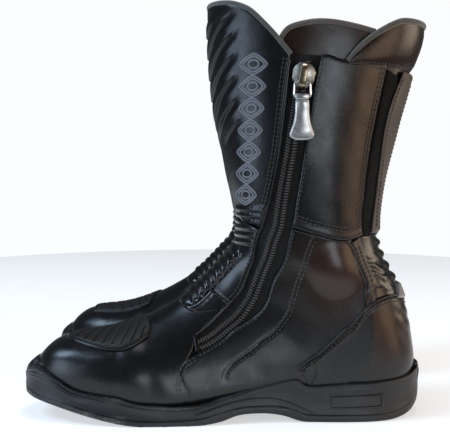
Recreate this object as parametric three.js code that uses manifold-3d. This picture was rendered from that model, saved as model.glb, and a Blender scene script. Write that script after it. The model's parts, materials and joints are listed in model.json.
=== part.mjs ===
// A pair of motorcycle riding boots, in millimetres.
// X runs along the foot with the toes at -X, Y across it, and Z up from the ground.
// The right boot is modelled about its own centre plane, y = 0, with its inner (medial)
// side at -Y. The left boot is its mirror image.
import * as THREE from 'three';
import { mergeVertices } from 'three/addons/utils/BufferGeometryUtils.js';
import Module from 'manifold-3d';

const wasm = await Module();
wasm.setup();

// Driving dimensions
const CENTRE_SPACING = 126;        // between the centre planes of the two boots
const LEATHER = 2.2;               // thickness of the upper's leather
const PLASTIC = 1.6;               // thickness of the moulded guards and stiffeners
const GAP = 0.4;                   // clearance where two pieces meet
const GUARD_INSET = 2.8;           // from the outer skin in to the guards
const LINING_INSET = 6.2;          // from the outer skin in to the foam-backed lining
const LINING = 2.6;                // thickness of the lining
const BOARD_INSET = 3.0;
const BOARD = 2.2;
const FOOTBED_INSET = 9.4;
const FOOTBED = 4.2;
const AROUND = 16;                 // facets around a section
const FAR = 200;                   // well outside the boot
const HALF = 90;                   // well outside half of a boot's width

// Sections of the outer skin, from the top of the shaft, down the ankle and out to the toe.
// Each lies in the plane of its front (or top) point and its back (or sole) point:
// [front x, front z, back x, back z, half width, shift in y, widest at, front power, back power]
const STATIONS = [
  [-11.5, 332, 159.6, 320, 58, 0, 0.52, 2.1, 2.2],
  [-11, 300, 154.1, 292, 57, 0, 0.52, 2.1, 2.2],
  [-9.5, 272, 146, 268, 55.5, 0, 0.52, 2.1, 2.2],
  [-7, 245, 139, 243, 54, 0, 0.52, 2.1, 2.2],
  [-3, 220, 132.5, 218, 52, 0, 0.52, 2.1, 2.2],
  [2.5, 190, 125, 188, 49.5, 0, 0.52, 2.1, 2.2],
  [7.5, 168, 121.7, 166, 47.5, 0, 0.52, 2.1, 2.2],
  [10.3, 152, 121, 151, 46, 0, 0.53, 2.1, 2.2],
  [10, 141, 122.5, 137, 44.5, 0, 0.54, 2.1, 2.2],
  [8, 132, 128, 122, 43, 0, 0.56, 2.1, 2.2],
  [3.5, 126, 137, 105, 41.5, 0, 0.58, 2.1, 2.3],
  [-1, 121.5, 144, 86, 40, 0, 0.6, 2.1, 2.4],
  [-6, 116, 149, 62, 39, 0, 0.63, 2.1, 2.6],
  [-11.3, 110.6, 150, 38, 38, 0, 0.66, 2.1, 3],
  [-17, 105, 136, 21, 37.5, 0, 0.68, 2.1, 3.4],
  [-23, 99.7, 116, 20, 37.5, 0, 0.7, 2.1, 4],
  [-31.4, 92.8, 88, 20, 38, 0, 0.7, 2.1, 4],
  [-42, 86, 56, 19, 39, 0, 0.7, 2.1, 4],
  [-54.9, 78.9, 24, 16, 41.5, 0, 0.7, 2.2, 4],
  [-66, 73.9, -8, 11, 45, 0, 0.7, 2.2, 4],
  [-77, 69.5, -38, 8, 47.5, -1, 0.7, 2.3, 4],
  [-90, 65.5, -66, 9, 47, -2, 0.7, 2.3, 4],
  [-104, 63, -94, 12.5, 42.5, -3, 0.68, 2.4, 4],
  [-118, 61.5, -118, 17, 35.5, -4, 0.65, 2.5, 4],
  [-130, 58.5, -133, 22, 28, -5, 0.62, 2.5, 3.6],
  [-139, 53, -143, 27, 20, -5.5, 0.58, 2.4, 3],
  [-146, 45.5, -149, 32.5, 10, -6, 0.55, 2.2, 2.4],
];
const FIRST_FLOOR_STATION = 14;    // the back points from here on lie on the floor of the sole

// The sole, from toe to heel. The rand in front of the toe is higher in its middle:
// [x, half width, shift in y, ground z, tread top z, top z, top z in the middle]
const SOLE = [
  [-157.6, 4, -6, 21, 25, 31, 33],
  [-155.5, 11, -6, 18, 23.5, 35, 38],
  [-151, 18, -6, 16.6, 22, 38.5, 46],
  [-146, 23.5, -5.8, 15.5, 20.5, 40, 49.4],
  [-139, 29, -5.5, 14.4, 19, 38, 44],
  [-129, 35, -5, 12.6, 17.4, 33.3],
  [-115, 41, -4, 9.4, 14.6, 26],
  [-98, 46.5, -3, 5.6, 10.6, 22.6],
  [-80, 50.5, -1.6, 2, 7, 20.5],
  [-62, 52, -1, 0, 5, 16],
  [-38, 52, 0, 0, 4.6, 13.9],
  [-18, 50, 0, 0, 5.6, 14.8],
  [-2, 47, 0, 2, 9, 19.6],
  [13, 44, 0, 6.4, 12.6, 23.8],
  [31, 41.5, 0, 7, 13.4, 28.6],
  [46, 40.5, 0, 5, 12.4, 31.8],
  [57, 40.5, 0, 1.4, 9, 33],
  [66, 40.5, 0, 0, 6.4, 28.2],
  [92, 41, 0, 0, 6, 29.3],
  [114, 39.6, 0, 0, 6, 30.5],
  [132, 34.5, 0, 0.8, 7, 32],
  [145, 26, 0, 4, 10.5, 33.5],
  [153, 16, 0, 10, 17.5, 36.4],
  [156.6, 6, 0, 16, 22, 36.8],
];

// Seams and edges on the side view, as [x, z]
const ZIP_FRONT_EDGE = [[49.5, 276], [44.2, 219.5], [38.3, 183], [30, 153], [24.5, 138], [23, 123],
  [17.4, 108], [0.5, 87.8], [-23.4, 66.8]];
const ZIP_REAR_EDGE = [[70.3, 272], [60.4, 206], [52.7, 165], [50.6, 148.5], [43.7, 119],
  [33.7, 102.2], [10.6, 74.6], [-2.2, 62.2], [-19.6, 53.4]];
const LATERAL_EDGE = [[49.5, 276], [46, 219.5], [41, 183], [34, 153], [31.5, 146.4]];
const SHIN_TOP = [[-FAR, 319.5], [-8, 319.5], [2, 318], [13, 314], [22, 308.6], [34.6, 295], [49.5, 276]];
const ARCH_TOP = [[39.7, 290.4], [45.6, 294.8], [53, 297.7], [71, 300.5], [93, 297.3], [112, 293]];
const COLLAR_TOP = [[90.5, 271.4], [97, 279], [105, 286.7], [115.5, 294.1], [126, 299.8],
  [135, 303], [148, 305], [FAR, 302.5]];
const CALF_REAR_EDGE = [[120.8, 271], [113, 229.6], [108.4, 201], [105.8, 177.5], [103.2, 158], [104.7, 143.4]];
const FLAP_FRONT_EDGE = [[136, 266.5], [123, 240], [118.5, 217], [116.8, 190], [115, 170], [111.2, 144.5]];
const SHAFT_BOTTOM_FRONT = 157;
const ANKLE_TOP = [[50.6, 148.2], [68, 143.6], [84, 139.2], [95, 138.6], [104.7, 143.2]];
const QUARTER_REAR_EDGE = [[93.6, 133.2], [99.6, 126], [102.4, 118], [106, 110], [108.2, 103.3],
  [107.4, 97.5], [104.6, 88.3]];
const QUARTER_TOP = 88.3;
const COUNTER_TOP = [[57.6, 38.5], [67.2, 51.9], [85.4, 70], [104.2, 86.2], [118, 94.7],
  [129.9, 96.8], [140.5, 93], [148.4, 83]];
const INSTEP_BOTTOM = [[-2.6, 85], [-8.4, 82.4], [-25.8, 80.6], [-35.3, 91], [-50, 105]];
const VAMP_REAR_EDGE = [[-20, 51.5], [-32.5, 46.8], [-36.3, 36], [-38.4, 11.6]];
const SHIFT_PAD = [[-122, 64], [-119.8, 59.2], [-100, 56.7], [-80.4, 55.5], [-71, 57.6],
  [-58.5, 63.9], [-55.6, 68], [-59.2, 80]];
const HEM_LIFT = 3.2;              // from the floor of the sole up to the leather's hem

// Zip slider and its pull
const SLIDER_AT = [58.7, 260.4];   // x and z of its middle, at the closed end
const ZIP_RUN = [47.3, 189.5];     // x and z of a place further down the straight run
const ZIP_TILT = 0.12;             // how fast the skin widens across the zip, towards the heel
const SLIDER_LENGTH = 19.4;
const SLIDER_WIDTH = 17.6;
const SLIDER_PLATE = 2.4;
const SLIDER_CLEARANCE = 1.7;      // from the skin to the plate
const BRIDGE_WIDTH = 5.6;
const BRIDGE_RISE = 3.4;           // height of the opening under the bridge
const BRIDGE_BAR = 1.8;
const LINK_WIRE = 1.6;
const LINK_WIDTH = 14;
const LINK_LENGTH = 12;
const LINK_PIVOT = -4.5;           // along the slider from its middle
const TAB_LENGTH = 33;
const TAB_HEAD_WIDTH = 9.6;
const TAB_HEAD = 4.6;              // height and depth of the head's barrel
const TAB_PLATE = 1.8;
const TAB_HOLE = 2.8;

// ---------------------------------------------------------------- solids

function solidOf(geometry) {
  const plain = geometry.clone();
  plain.deleteAttribute('normal');
  plain.deleteAttribute('uv');
  const merged = mergeVertices(plain, 1e-4);
  return new wasm.Manifold(new wasm.Mesh({
    numProp: 3,
    vertProperties: Float32Array.from(merged.attributes.position.array),
    triVerts: Uint32Array.from(merged.index.array),
  }));
}

function geometryOf(solid) {
  const mesh = solid.getMesh();
  const geometry = new THREE.BufferGeometry();
  geometry.setAttribute('position', new THREE.BufferAttribute(Float32Array.from(mesh.vertProperties), 3));
  geometry.setIndex(Array.from(mesh.triVerts));
  return geometry;
}

function mirrored(geometry) {
  const copy = geometry.clone();
  copy.scale(1, -1, 1);
  const index = Array.from(copy.index.array);
  for (let i = 0; i < index.length; i += 3) {
    [index[i], index[i + 1]] = [index[i + 1], index[i]];
  }
  copy.setIndex(index);
  return copy;
}

// A closed solid through rings of points, capped at both ends about each ring's middle.
function loft(rings) {
  const points = [];
  const index = [];
  const count = rings[0].length;
  for (const ring of rings) {
    points.push(...ring);
  }
  for (let r = 0; r + 1 < rings.length; r += 1) {
    for (let i = 0; i < count; i += 1) {
      const a = r * count + i;
      const b = r * count + (i + 1) % count;
      index.push(a, b, a + count, b, b + count, a + count);
    }
  }
  for (const [ring, flip] of [[0, false], [rings.length - 1, true]]) {
    const middle = points.length;
    const centre = new THREE.Vector3();
    rings[ring].forEach((point) => centre.add(point));
    points.push(centre.divideScalar(count));
    for (let i = 0; i < count; i += 1) {
      const a = ring * count + i;
      const b = ring * count + (i + 1) % count;
      index.push(middle, flip ? a : b, flip ? b : a);
    }
  }
  const geometry = new THREE.BufferGeometry().setFromPoints(points);
  geometry.setIndex(index);
  return solidOf(geometry);
}

// A prism whose outline is given on the side view and which runs from y = low to y = high.
function prism(outline, low, high) {
  const shape = new THREE.Shape(outline.map(([x, z]) => new THREE.Vector2(x, z)));
  const geometry = new THREE.ExtrudeGeometry(shape, { depth: high - low, bevelEnabled: false });
  geometry.rotateX(Math.PI / 2);
  geometry.translate(0, high, 0);
  return solidOf(geometry);
}

const shifted = (edge, dx, dz) => edge.map(([x, z]) => [x + dx, z + dz]);
const reversed = (edge) => edge.slice().reverse();

// ---------------------------------------------------------------- the outer skin

const direction = (from, to) => new THREE.Vector2(to[0] - from[0], to[1] - from[1]).normalize();

// One section moved in from the skin by an inset (out, where the inset is negative).
function insetStation(k, inset) {
  const before = STATIONS[Math.max(k - 1, 0)];
  const after = STATIONS[Math.min(k + 1, STATIONS.length - 1)];
  const [fx, fz, bx, bz, half, shift, widest, frontPower, backPower] = STATIONS[k];
  const front = direction([before[0], before[1]], [after[0], after[1]]);
  const back = direction([before[2], before[3]], [after[2], after[3]]);
  const travel = 0.5 * Math.hypot(after[0] + after[2] - before[0] - before[2],
    after[1] + after[3] - before[1] - before[3]);
  const taper = Math.hypot(1, (after[4] - before[4]) / travel);
  return {
    front: [fx - front.y * inset, fz + front.x * inset],
    back: [bx + back.y * inset, bz - back.x * inset],
    half: half - inset * taper,
    shift,
    widest,
    frontPower,
    backPower,
  };
}

// A point on a section: turn 0 is its front, a quarter turn is its lateral side.
function sectionPoint(station, turn) {
  const angle = turn * 2 * Math.PI;
  const c = Math.abs(Math.cos(angle));
  const s = Math.abs(Math.sin(angle));
  const atFront = turn <= 0.25 || turn >= 0.75;
  const power = 2 / (atFront ? station.frontPower : station.backPower);
  const along = atFront
    ? station.widest * (1 - c ** power)
    : station.widest + (1 - station.widest) * c ** power;
  const side = turn < 0.5 ? 1 : -1;
  return new THREE.Vector3(
    THREE.MathUtils.lerp(station.front[0], station.back[0], along),
    station.shift + side * station.half * s ** power,
    THREE.MathUtils.lerp(station.front[1], station.back[1], along),
  );
}

// The whole boot's solid, moved in from the skin by an inset, with every nth section and facet.
function last(inset, every = 1) {
  const rings = [];
  const count = AROUND / every;
  for (let k = 0; k < STATIONS.length; k += every) {
    const station = insetStation(k, inset);
    const depth = Math.hypot(station.back[0] - station.front[0], station.back[1] - station.front[1]);
    if (station.half > 3 && depth > 3) {
      const ring = [];
      for (let i = 0; i < count; i += 1) {
        ring.push(sectionPoint(station, i / count));
      }
      rings.push(ring);
    }
  }
  return loft(rings);
}

const layer = (outer, inner, every = 1) => last(outer, every).subtract(last(inner, every));

// The skin's distance from the centre plane at a place on the side view.
function skinHalfWidth(x, z) {
  for (let k = 0; k + 1 < STATIONS.length; k += 1) {
    const sideOf = (station) => {
      const [fx, fz, bx, bz] = station;
      return (bx - fx) * (z - fz) - (bz - fz) * (x - fx);
    };
    const a = sideOf(STATIONS[k]);
    const b = sideOf(STATIONS[k + 1]);
    if (a <= 0 && b >= 0) {
      const row = STATIONS[k].map((value, i) => THREE.MathUtils.lerp(value, STATIONS[k + 1][i], a / (a - b)));
      const [fx, , bx, , half, , widest, frontPower, backPower] = row;
      const along = (x - fx) / (bx - fx);
      const power = along < widest ? frontPower : backPower;
      const reach = along < widest ? 1 - along / widest : (along - widest) / (1 - widest);
      return half * (1 - reach ** power) ** (1 / power);
    }
  }
  return 0;
}

// ---------------------------------------------------------------- panels

const SKIN = layer(0, LEATHER);
const GUARD_LAYER = layer(GUARD_INSET, GUARD_INSET + PLASTIC);

const medial = (outline) => prism(outline, -HALF, 0.01);
const lateral = (outline) => prism(outline, -0.01, HALF);
const bothSides = (outline) => prism(outline, -HALF, HALF);

// The floor of the sole on the side view, raised, from heel to toe, between two places.
function floorLine(lift, toe = -FAR, heel = FAR) {
  const line = [];
  for (let k = FIRST_FLOOR_STATION - 1; k < STATIONS.length; k += 1) {
    const [, , x, z] = STATIONS[k];
    if (x > toe && x < heel) {
      line.push([x, z + lift]);
    }
  }
  return line;
}

const soleHem = (toe, heel) => floorLine(HEM_LIFT, toe, heel);

function shinPanel() {
  const front = [[-FAR, SHAFT_BOTTOM_FRONT + GAP]];
  const bottom = [[10, SHAFT_BOTTOM_FRONT + GAP]];
  const medialEdge = [...shifted(ZIP_FRONT_EDGE.slice(0, 4), -GAP, 0), [27.4, 145.6]];
  const lateralEdge = shifted(LATERAL_EDGE, -GAP, 0);
  const inner = SKIN.intersect(medial([...front, ...SHIN_TOP, ...medialEdge.slice(1), ...bottom]));
  const outer = SKIN.intersect(lateral([...front, ...SHIN_TOP, ...lateralEdge.slice(1), ...bottom]));
  return inner.add(outer);
}

function lateralShaftPanel() {
  return SKIN.intersect(lateral([
    ...reversed(shifted(LATERAL_EDGE, GAP, 0)),
    ...shifted(ARCH_TOP, 0.6, 0),
    ...reversed(shifted(COLLAR_TOP.slice(0, 4), -GAP, 0)),
    [89, 270.6],
    [120.4, 270.6],
    ...shifted(CALF_REAR_EDGE.slice(1), -GAP / 2, 0),
    ...reversed(shifted(ANKLE_TOP.slice(0, 4), 0, GAP)),
  ]));
}

function calfPanel() {
  return SKIN.intersect(medial([
    ...reversed(shifted(ZIP_REAR_EDGE.slice(0, 4), GAP, 0)),
    [73.5, 277.3],
    [88.5, 270.6],
    [120.4, 270.6],
    ...shifted(CALF_REAR_EDGE.slice(1), -GAP / 2, 0),
    ...reversed(shifted(ANKLE_TOP.slice(1, 4), 0, GAP)),
  ]));
}

function backPanel() {
  return SKIN.intersect(bothSides([
    ...shifted(CALF_REAR_EDGE, GAP / 2, -GAP / 2),
    [FAR, CALF_REAR_EDGE[5][1]],
    [FAR, CALF_REAR_EDGE[0][1] - GAP / 2],
  ]));
}

function rearCollar() {
  return layer(-1, LEATHER).intersect(bothSides([...COLLAR_TOP, [FAR, COLLAR_TOP[0][1]]]));
}

function zipGusset() {
  return layer(GUARD_INSET, GUARD_INSET + 1.4).intersect(medial([
    ...ARCH_TOP,
    [117, 262],
    [104, 200],
    [100, 150.6],
    [52, 150.6],
    [42, 180],
    [40.5, 262],
  ]));
}

function shinGuard() {
  return GUARD_LAYER.intersect(bothSides([
    [-FAR, 168], [-FAR, 300], [10, 300], [22, 292], [30, 280], [36, 262], [35, 219], [32, 190], [24, 168],
  ]));
}

function loopStrip() {
  return layer(-1.7, -0.4).intersect(medial([
    ...shifted(CALF_REAR_EDGE.slice(1), 0.6, 0),
    ...reversed(shifted(FLAP_FRONT_EDGE.slice(1), 5, 2)),
    [122, 262],
  ]));
}

function calfFlap() {
  return layer(-4, -2.2).intersect(prism([
    ...FLAP_FRONT_EDGE,
    [FAR, FLAP_FRONT_EDGE[5][1]],
    [FAR, FLAP_FRONT_EDGE[0][1]],
  ], -HALF, -1));
}

function instepPanel() {
  const top = [[-FAR, SHAFT_BOTTOM_FRONT], [10, SHAFT_BOTTOM_FRONT]];
  const bottom = [...shifted(INSTEP_BOTTOM, 0, GAP / 2), [-FAR, 105]];
  const inner = SKIN.intersect(medial([
    ...top, [27.2, 145], ...shifted(ZIP_FRONT_EDGE.slice(4, 7), -GAP, 0), [-1.5, 86.4], ...bottom.slice(1),
  ]));
  const outer = SKIN.intersect(lateral([
    ...top, [31.4, 145.9], ...ANKLE_TOP.slice(0, 2), [63, 120], [60, QUARTER_TOP], [20, QUARTER_TOP], ...bottom,
  ]));
  return inner.add(outer);
}

function achillesPanel() {
  const counter = reversed(shifted(COUNTER_TOP.slice(4), 0, GAP));
  const top = [...shifted(ANKLE_TOP.slice(3), 0, -GAP / 2), [FAR, 143]];
  const inner = SKIN.intersect(medial([
    ...top, [FAR, 70], ...counter, [106, 88], ...reversed(shifted(QUARTER_REAR_EDGE.slice(0, 6), GAP, 0)),
  ]));
  const outer = SKIN.intersect(lateral([
    [68.6, 143.2], [84, 139], ...top, [FAR, 70], ...counter, [107.6, QUARTER_TOP],
    [60.4, QUARTER_TOP], [63.4, 120],
  ]));
  return inner.add(outer);
}

function medialAnklePanel() {
  return SKIN.intersect(medial([
    ...shifted(ANKLE_TOP.slice(0, 3), 0.6, -0.2),
    ...shifted(QUARTER_REAR_EDGE, -GAP, GAP / 2),
    [24.6, QUARTER_TOP + GAP / 2],
    ...reversed(shifted(ZIP_REAR_EDGE.slice(4, 6), GAP, 0)),
  ]));
}

function medialQuarter() {
  return SKIN.intersect(medial([
    [23, QUARTER_TOP - GAP],
    [103.6, QUARTER_TOP - GAP],
    ...reversed(shifted(COUNTER_TOP.slice(0, 4), -GAP, GAP / 2)),
    [56, 22],
    ...soleHem(-38, 56),
    ...reversed(shifted(VAMP_REAR_EDGE, GAP / 2, -GAP / 2)),
    ...reversed(shifted(ZIP_REAR_EDGE.slice(6, 8), GAP, -GAP)),
  ]));
}

function lateralQuarter() {
  return SKIN.intersect(lateral([
    [-2.6, 84.6],
    [20, QUARTER_TOP - GAP],
    [103.6, QUARTER_TOP - GAP],
    ...reversed(shifted(COUNTER_TOP.slice(0, 4), -GAP, GAP / 2)),
    [56, 22],
    ...soleHem(-38, 56),
    ...reversed(shifted(VAMP_REAR_EDGE.slice(1), GAP / 2, -GAP / 2)),
    [-19.6, 66],
    [-8.4, 81.8],
  ]));
}

function vamp() {
  const seam = reversed(shifted(VAMP_REAR_EDGE, -GAP / 2, GAP / 2));
  const top = [...shifted(INSTEP_BOTTOM, 0, -GAP / 2), [-FAR, 105], [-FAR, 35]];
  const hem = reversed(soleHem(-FAR, -38.6));
  const inner = SKIN.intersect(medial([...hem, ...seam, [-20.2, 53.2], [-24, 66.8], [-3.3, 84.4], ...top.slice(1)]));
  const outer = SKIN.intersect(lateral([...hem, ...seam.slice(0, 3), [-20, 66.2], [-8.8, 82.2], ...top.slice(2)]));
  return inner.add(outer);
}

function heelCounterCover() {
  return SKIN.intersect(bothSides([
    ...shifted(COUNTER_TOP, GAP, -GAP / 2),
    [FAR, 60],
    [FAR, 40],
    [149, 34],
    ...soleHem(56, 140),
  ]));
}

function shiftPad() {
  return layer(-2.6, -0.4).intersect(prism(SHIFT_PAD, -HALF, 14));
}

function heelStiffener() {
  return GUARD_LAYER.intersect(bothSides([
    [70, 28], [76, 44], [92, 64], [108, 80], [122, 88], [136, 89], [FAR, 80], [FAR, 28],
  ]));
}

function ankleGuard(side) {
  const outline = new THREE.EllipseCurve(88, 111, 15, 16).getPoints(12).slice(0, 12);
  return GUARD_LAYER.intersect(side(outline.map((point) => [point.x, point.y])));
}

// Both halves of the closed zip: two woven tapes, joined by the coil along their middle.
function zipChain() {
  const front = shifted(ZIP_FRONT_EDGE.slice(1, 8), GAP, 0);
  const rear = shifted(ZIP_REAR_EDGE.slice(1, 8), -GAP, 0);
  return layer(0.3, 2.1).intersect(medial([
    [49.6, 271], ...front, [-22.4, 66.2], [-19.2, 54.4], ...reversed(rear), [69.6, 270],
  ]));
}

function lining() {
  const sock = layer(LINING_INSET, LINING_INSET + LINING, 2);
  return sock.intersect(bothSides([
    [-FAR, 0], [-FAR, 315], [0, 315], [12, 311], [28, 298], [40, 288], [53, 294], [71, 297.5], [93, 294],
    [120, 293], [140, 300], [FAR, 300], [FAR, 0],
  ]));
}

// ---------------------------------------------------------------- sole and insole

// A slab of the sole between two of its heights; 0 is the ground, 1 the tread's top, 2 the top.
function soleSlab(low, high, lowLift, highLift) {
  const rings = SOLE.map((row) => {
    const [x, half, shift] = row;
    const bottom = row[3 + low] + lowLift;
    const top = row[3 + high] + highLift;
    const middle = high === 2 ? (row[6] ?? row[5]) : top;
    const soft = 1.2;
    return [
      new THREE.Vector3(x, shift + half, bottom + soft),
      new THREE.Vector3(x, shift + half, top),
      new THREE.Vector3(x, shift, middle),
      new THREE.Vector3(x, shift - half, top),
      new THREE.Vector3(x, shift - half, bottom + soft),
      new THREE.Vector3(x, shift - half + soft, bottom),
      new THREE.Vector3(x, shift + half - soft, bottom),
    ];
  });
  return loft(rings);
}

function midsole() {
  return soleSlab(1, 2, GAP / 2, 0).subtract(last(-GAP));
}

// The tread's cross grooves, between the lugs of the ball and of the heel.
function outsole() {
  let tread = soleSlab(0, 1, 0, -GAP / 2);
  const grooveDepth = 2.6;
  const grooveWidth = 3.2;
  const grooves = [-80, -62, -44, -26, 82, 98];
  for (const x of grooves) {
    const low = x < -62 ? (-62 - x) * 0.12 : 0;
    tread = tread.subtract(prism([
      [x - grooveWidth / 2, -1], [x + grooveWidth / 2, -1],
      [x + grooveWidth / 2, low + grooveDepth], [x - grooveWidth / 2, low + grooveDepth],
    ], -HALF, HALF));
  }
  return tread;
}

function floorBand(low, high, toe, heel) {
  return [...floorLine(low, toe, heel), ...reversed(floorLine(high, toe, heel))];
}

function insoleBoard() {
  return last(BOARD_INSET).intersect(bothSides(floorBand(-1, BOARD_INSET + BOARD, -FAR, 140)));
}

function shank() {
  const halfWidth = 7;
  return prism(floorBand(0.7, 2.3, -30, 100), -halfWidth, halfWidth);
}

function footbed() {
  return last(FOOTBED_INSET, 2).intersect(bothSides(floorBand(-1, FOOTBED_INSET + FOOTBED, -FAR, 140)));
}

// ---------------------------------------------------------------- zip slider and pull

// The slider's own axes: x across the zip, y out of the boot (as -Y), z up the zip.
function sliderFrame() {
  const [x, z] = SLIDER_AT;
  const [lowX, lowZ] = ZIP_RUN;
  const up = new THREE.Vector3(x - lowX, skinHalfWidth(lowX, lowZ) - skinHalfWidth(x, z), z - lowZ).normalize();
  const across = new THREE.Vector3(1, -ZIP_TILT, 0);
  across.addScaledVector(up, -across.dot(up)).normalize();
  const inward = new THREE.Vector3().crossVectors(up, across);
  const frame = new THREE.Matrix4().makeBasis(across, inward, up);
  return frame.setPosition(x, -skinHalfWidth(x, z), z);
}

// The link and tab hang straight down from the slider, turned about its outward axis at the link's pivot.
function hangingFrame() {
  const frame = sliderFrame();
  const across = new THREE.Vector3().setFromMatrixColumn(frame, 0);
  const up = new THREE.Vector3().setFromMatrixColumn(frame, 2);
  const turn = new THREE.Matrix4().makeRotationY(-Math.atan2(up.x, across.x));
  const toPivot = new THREE.Matrix4().makeTranslation(0, 0, LINK_PIVOT);
  const fromPivot = new THREE.Matrix4().makeTranslation(0, 0, -LINK_PIVOT);
  return frame.multiply(toPivot).multiply(turn).multiply(fromPivot);
}

// A flat plate in the slider's axes, between two distances out from the skin.
function plate(shape, near, far) {
  const geometry = new THREE.ExtrudeGeometry(shape, { depth: far - near, bevelEnabled: false, curveSegments: 6 });
  geometry.rotateX(Math.PI / 2);
  geometry.translate(0, -near, 0);
  return solidOf(geometry);
}

const polygon = (points) => new THREE.Shape(points.map(([x, z]) => new THREE.Vector2(x, z)));

function rectangle(width, low, high) {
  return polygon([[-width / 2, low], [width / 2, low], [width / 2, high], [-width / 2, high]]);
}

const PLATE_TOP = SLIDER_CLEARANCE + SLIDER_PLATE;
const LINK_HEIGHT = PLATE_TOP + BRIDGE_RISE / 2;

function zipSlider() {
  const half = SLIDER_LENGTH / 2;
  const side = SLIDER_WIDTH / 2;
  const body = plate(polygon([
    [-3.2, -half], [3.2, -half], [side - 2, -3], [side, 3], [side - 2.4, 7.4], [2, half], [-2, half],
    [2.4 - side, 7.4], [-side, 3], [2 - side, -3],
  ]), SLIDER_CLEARANCE, PLATE_TOP);
  const barTop = PLATE_TOP + BRIDGE_RISE + BRIDGE_BAR;
  const bridge = plate(rectangle(BRIDGE_WIDTH, -half, half), PLATE_TOP - 0.2, barTop);
  const opening = plate(rectangle(BRIDGE_WIDTH + 2, 2 - half, half - 2), PLATE_TOP, PLATE_TOP + BRIDGE_RISE);
  return body.add(bridge.subtract(opening));
}

function pullLink() {
  const top = LINK_PIVOT + LINK_WIRE / 2;
  const low = top - LINK_LENGTH;
  const near = LINK_HEIGHT - LINK_WIRE / 2;
  const loop = plate(rectangle(LINK_WIDTH, low, top), near, near + LINK_WIRE);
  const inside = rectangle(LINK_WIDTH - 2 * LINK_WIRE, low + LINK_WIRE, top - LINK_WIRE);
  return loop.subtract(plate(inside, near - 1, near + LINK_WIRE + 1));
}

function pullTab() {
  const pivot = LINK_PIVOT - LINK_LENGTH + LINK_WIRE;
  const top = pivot + TAB_HEAD / 2;
  const low = top - TAB_LENGTH;
  const head = plate(rectangle(TAB_HEAD_WIDTH, pivot - TAB_HEAD / 2, top),
    LINK_HEIGHT - TAB_HEAD / 2, LINK_HEIGHT + TAB_HEAD / 2);
  const body = new THREE.Shape();
  body.moveTo(-5.6, pivot - TAB_HEAD / 2 + 0.5);
  body.lineTo(-9.6, low + 6);
  body.quadraticCurveTo(-9.4, low, 0, low);
  body.quadraticCurveTo(9.4, low, 9.6, low + 6);
  body.lineTo(5.6, pivot - TAB_HEAD / 2 + 0.5);
  const blade = plate(body, LINK_HEIGHT - TAB_PLATE / 2, LINK_HEIGHT + TAB_PLATE / 2);
  const hole = plate(rectangle(TAB_HEAD_WIDTH + 2, pivot - TAB_HOLE / 2, pivot + TAB_HOLE / 2),
    LINK_HEIGHT - TAB_HOLE / 2, LINK_HEIGHT + TAB_HOLE / 2);
  return head.add(blade).subtract(hole);
}

// ---------------------------------------------------------------- materials and assembly

const finish = (color, roughness, metalness = 0) => new THREE.MeshStandardMaterial({ color, roughness, metalness });
const LEATHER_FINISH = finish(0x17181b, 0.42);
const RUBBER_FINISH = finish(0x1c1c1d, 0.85);
const PAD_FINISH = finish(0x3a3634, 0.75);
const VELCRO_FINISH = finish(0x0c0c0d, 1);
const TAPE_FINISH = finish(0x111113, 0.9);
const FELT_FINISH = finish(0x1a1a1c, 0.8);
const METAL_FINISH = finish(0xb9b7b2, 0.35, 0.9);
const BOARD_FINISH = finish(0x8a7350, 0.9);
const PLASTIC_FINISH = finish(0x2b2c2e, 0.6);
const LINING_FINISH = finish(0x2a2a2d, 0.95);
const STEEL_FINISH = finish(0x8f9296, 0.4, 1);

const PIECES = [
  ['outsole', outsole(), RUBBER_FINISH],
  ['midsole', midsole(), RUBBER_FINISH],
  ['insole_board', insoleBoard(), BOARD_FINISH],
  ['shank', shank(), STEEL_FINISH],
  ['footbed', footbed(), LINING_FINISH],
  ['vamp', vamp(), LEATHER_FINISH],
  ['shift_pad', shiftPad(), PAD_FINISH],
  ['heel_counter_cover', heelCounterCover(), LEATHER_FINISH],
  ['heel_stiffener', heelStiffener(), PLASTIC_FINISH],
  ['medial_ankle_guard', ankleGuard(medial), PLASTIC_FINISH],
  ['lateral_ankle_guard', ankleGuard(lateral), PLASTIC_FINISH],
  ['medial_quarter', medialQuarter(), LEATHER_FINISH],
  ['lateral_quarter', lateralQuarter(), LEATHER_FINISH],
  ['medial_ankle_panel', medialAnklePanel(), LEATHER_FINISH],
  ['instep_panel', instepPanel(), LEATHER_FINISH],
  ['achilles_panel', achillesPanel(), LEATHER_FINISH],
  ['lining', lining(), LINING_FINISH],
  ['zip_chain', zipChain(), TAPE_FINISH],
  ['shin_panel', shinPanel(), LEATHER_FINISH],
  ['shin_guard', shinGuard(), PLASTIC_FINISH],
  ['lateral_shaft_panel', lateralShaftPanel(), LEATHER_FINISH],
  ['calf_panel', calfPanel(), LEATHER_FINISH],
  ['back_panel', backPanel(), LEATHER_FINISH],
  ['rear_collar', rearCollar(), LEATHER_FINISH],
  ['zip_gusset', zipGusset(), FELT_FINISH],
  ['loop_strip', loopStrip(), VELCRO_FINISH],
  ['calf_flap', calfFlap(), LEATHER_FINISH],
];
const SLIDER_PIECES = [
  ['zip_slider', zipSlider(), sliderFrame()],
  ['pull_link', pullLink(), hangingFrame()],
  ['pull_tab', pullTab(), hangingFrame()],
];

function boot(side, sign) {
  const group = new THREE.Group();
  group.position.y = -sign * CENTRE_SPACING / 2;
  for (const [name, solid, material] of PIECES) {
    const geometry = geometryOf(solid);
    const mesh = new THREE.Mesh(sign > 0 ? geometry : mirrored(geometry), material);
    mesh.name = `${side}_${name}`;
    group.add(mesh);
  }
  for (const [name, solid, frame] of SLIDER_PIECES) {
    const geometry = geometryOf(solid).applyMatrix4(frame);
    const mesh = new THREE.Mesh(sign > 0 ? geometry : mirrored(geometry), METAL_FINISH);
    mesh.name = `${side}_${name}`;
    group.add(mesh);
  }
  return group;
}

const boots = new THREE.Group();
boots.add(boot('right', 1), boot('left', -1));

export default boots;
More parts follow.
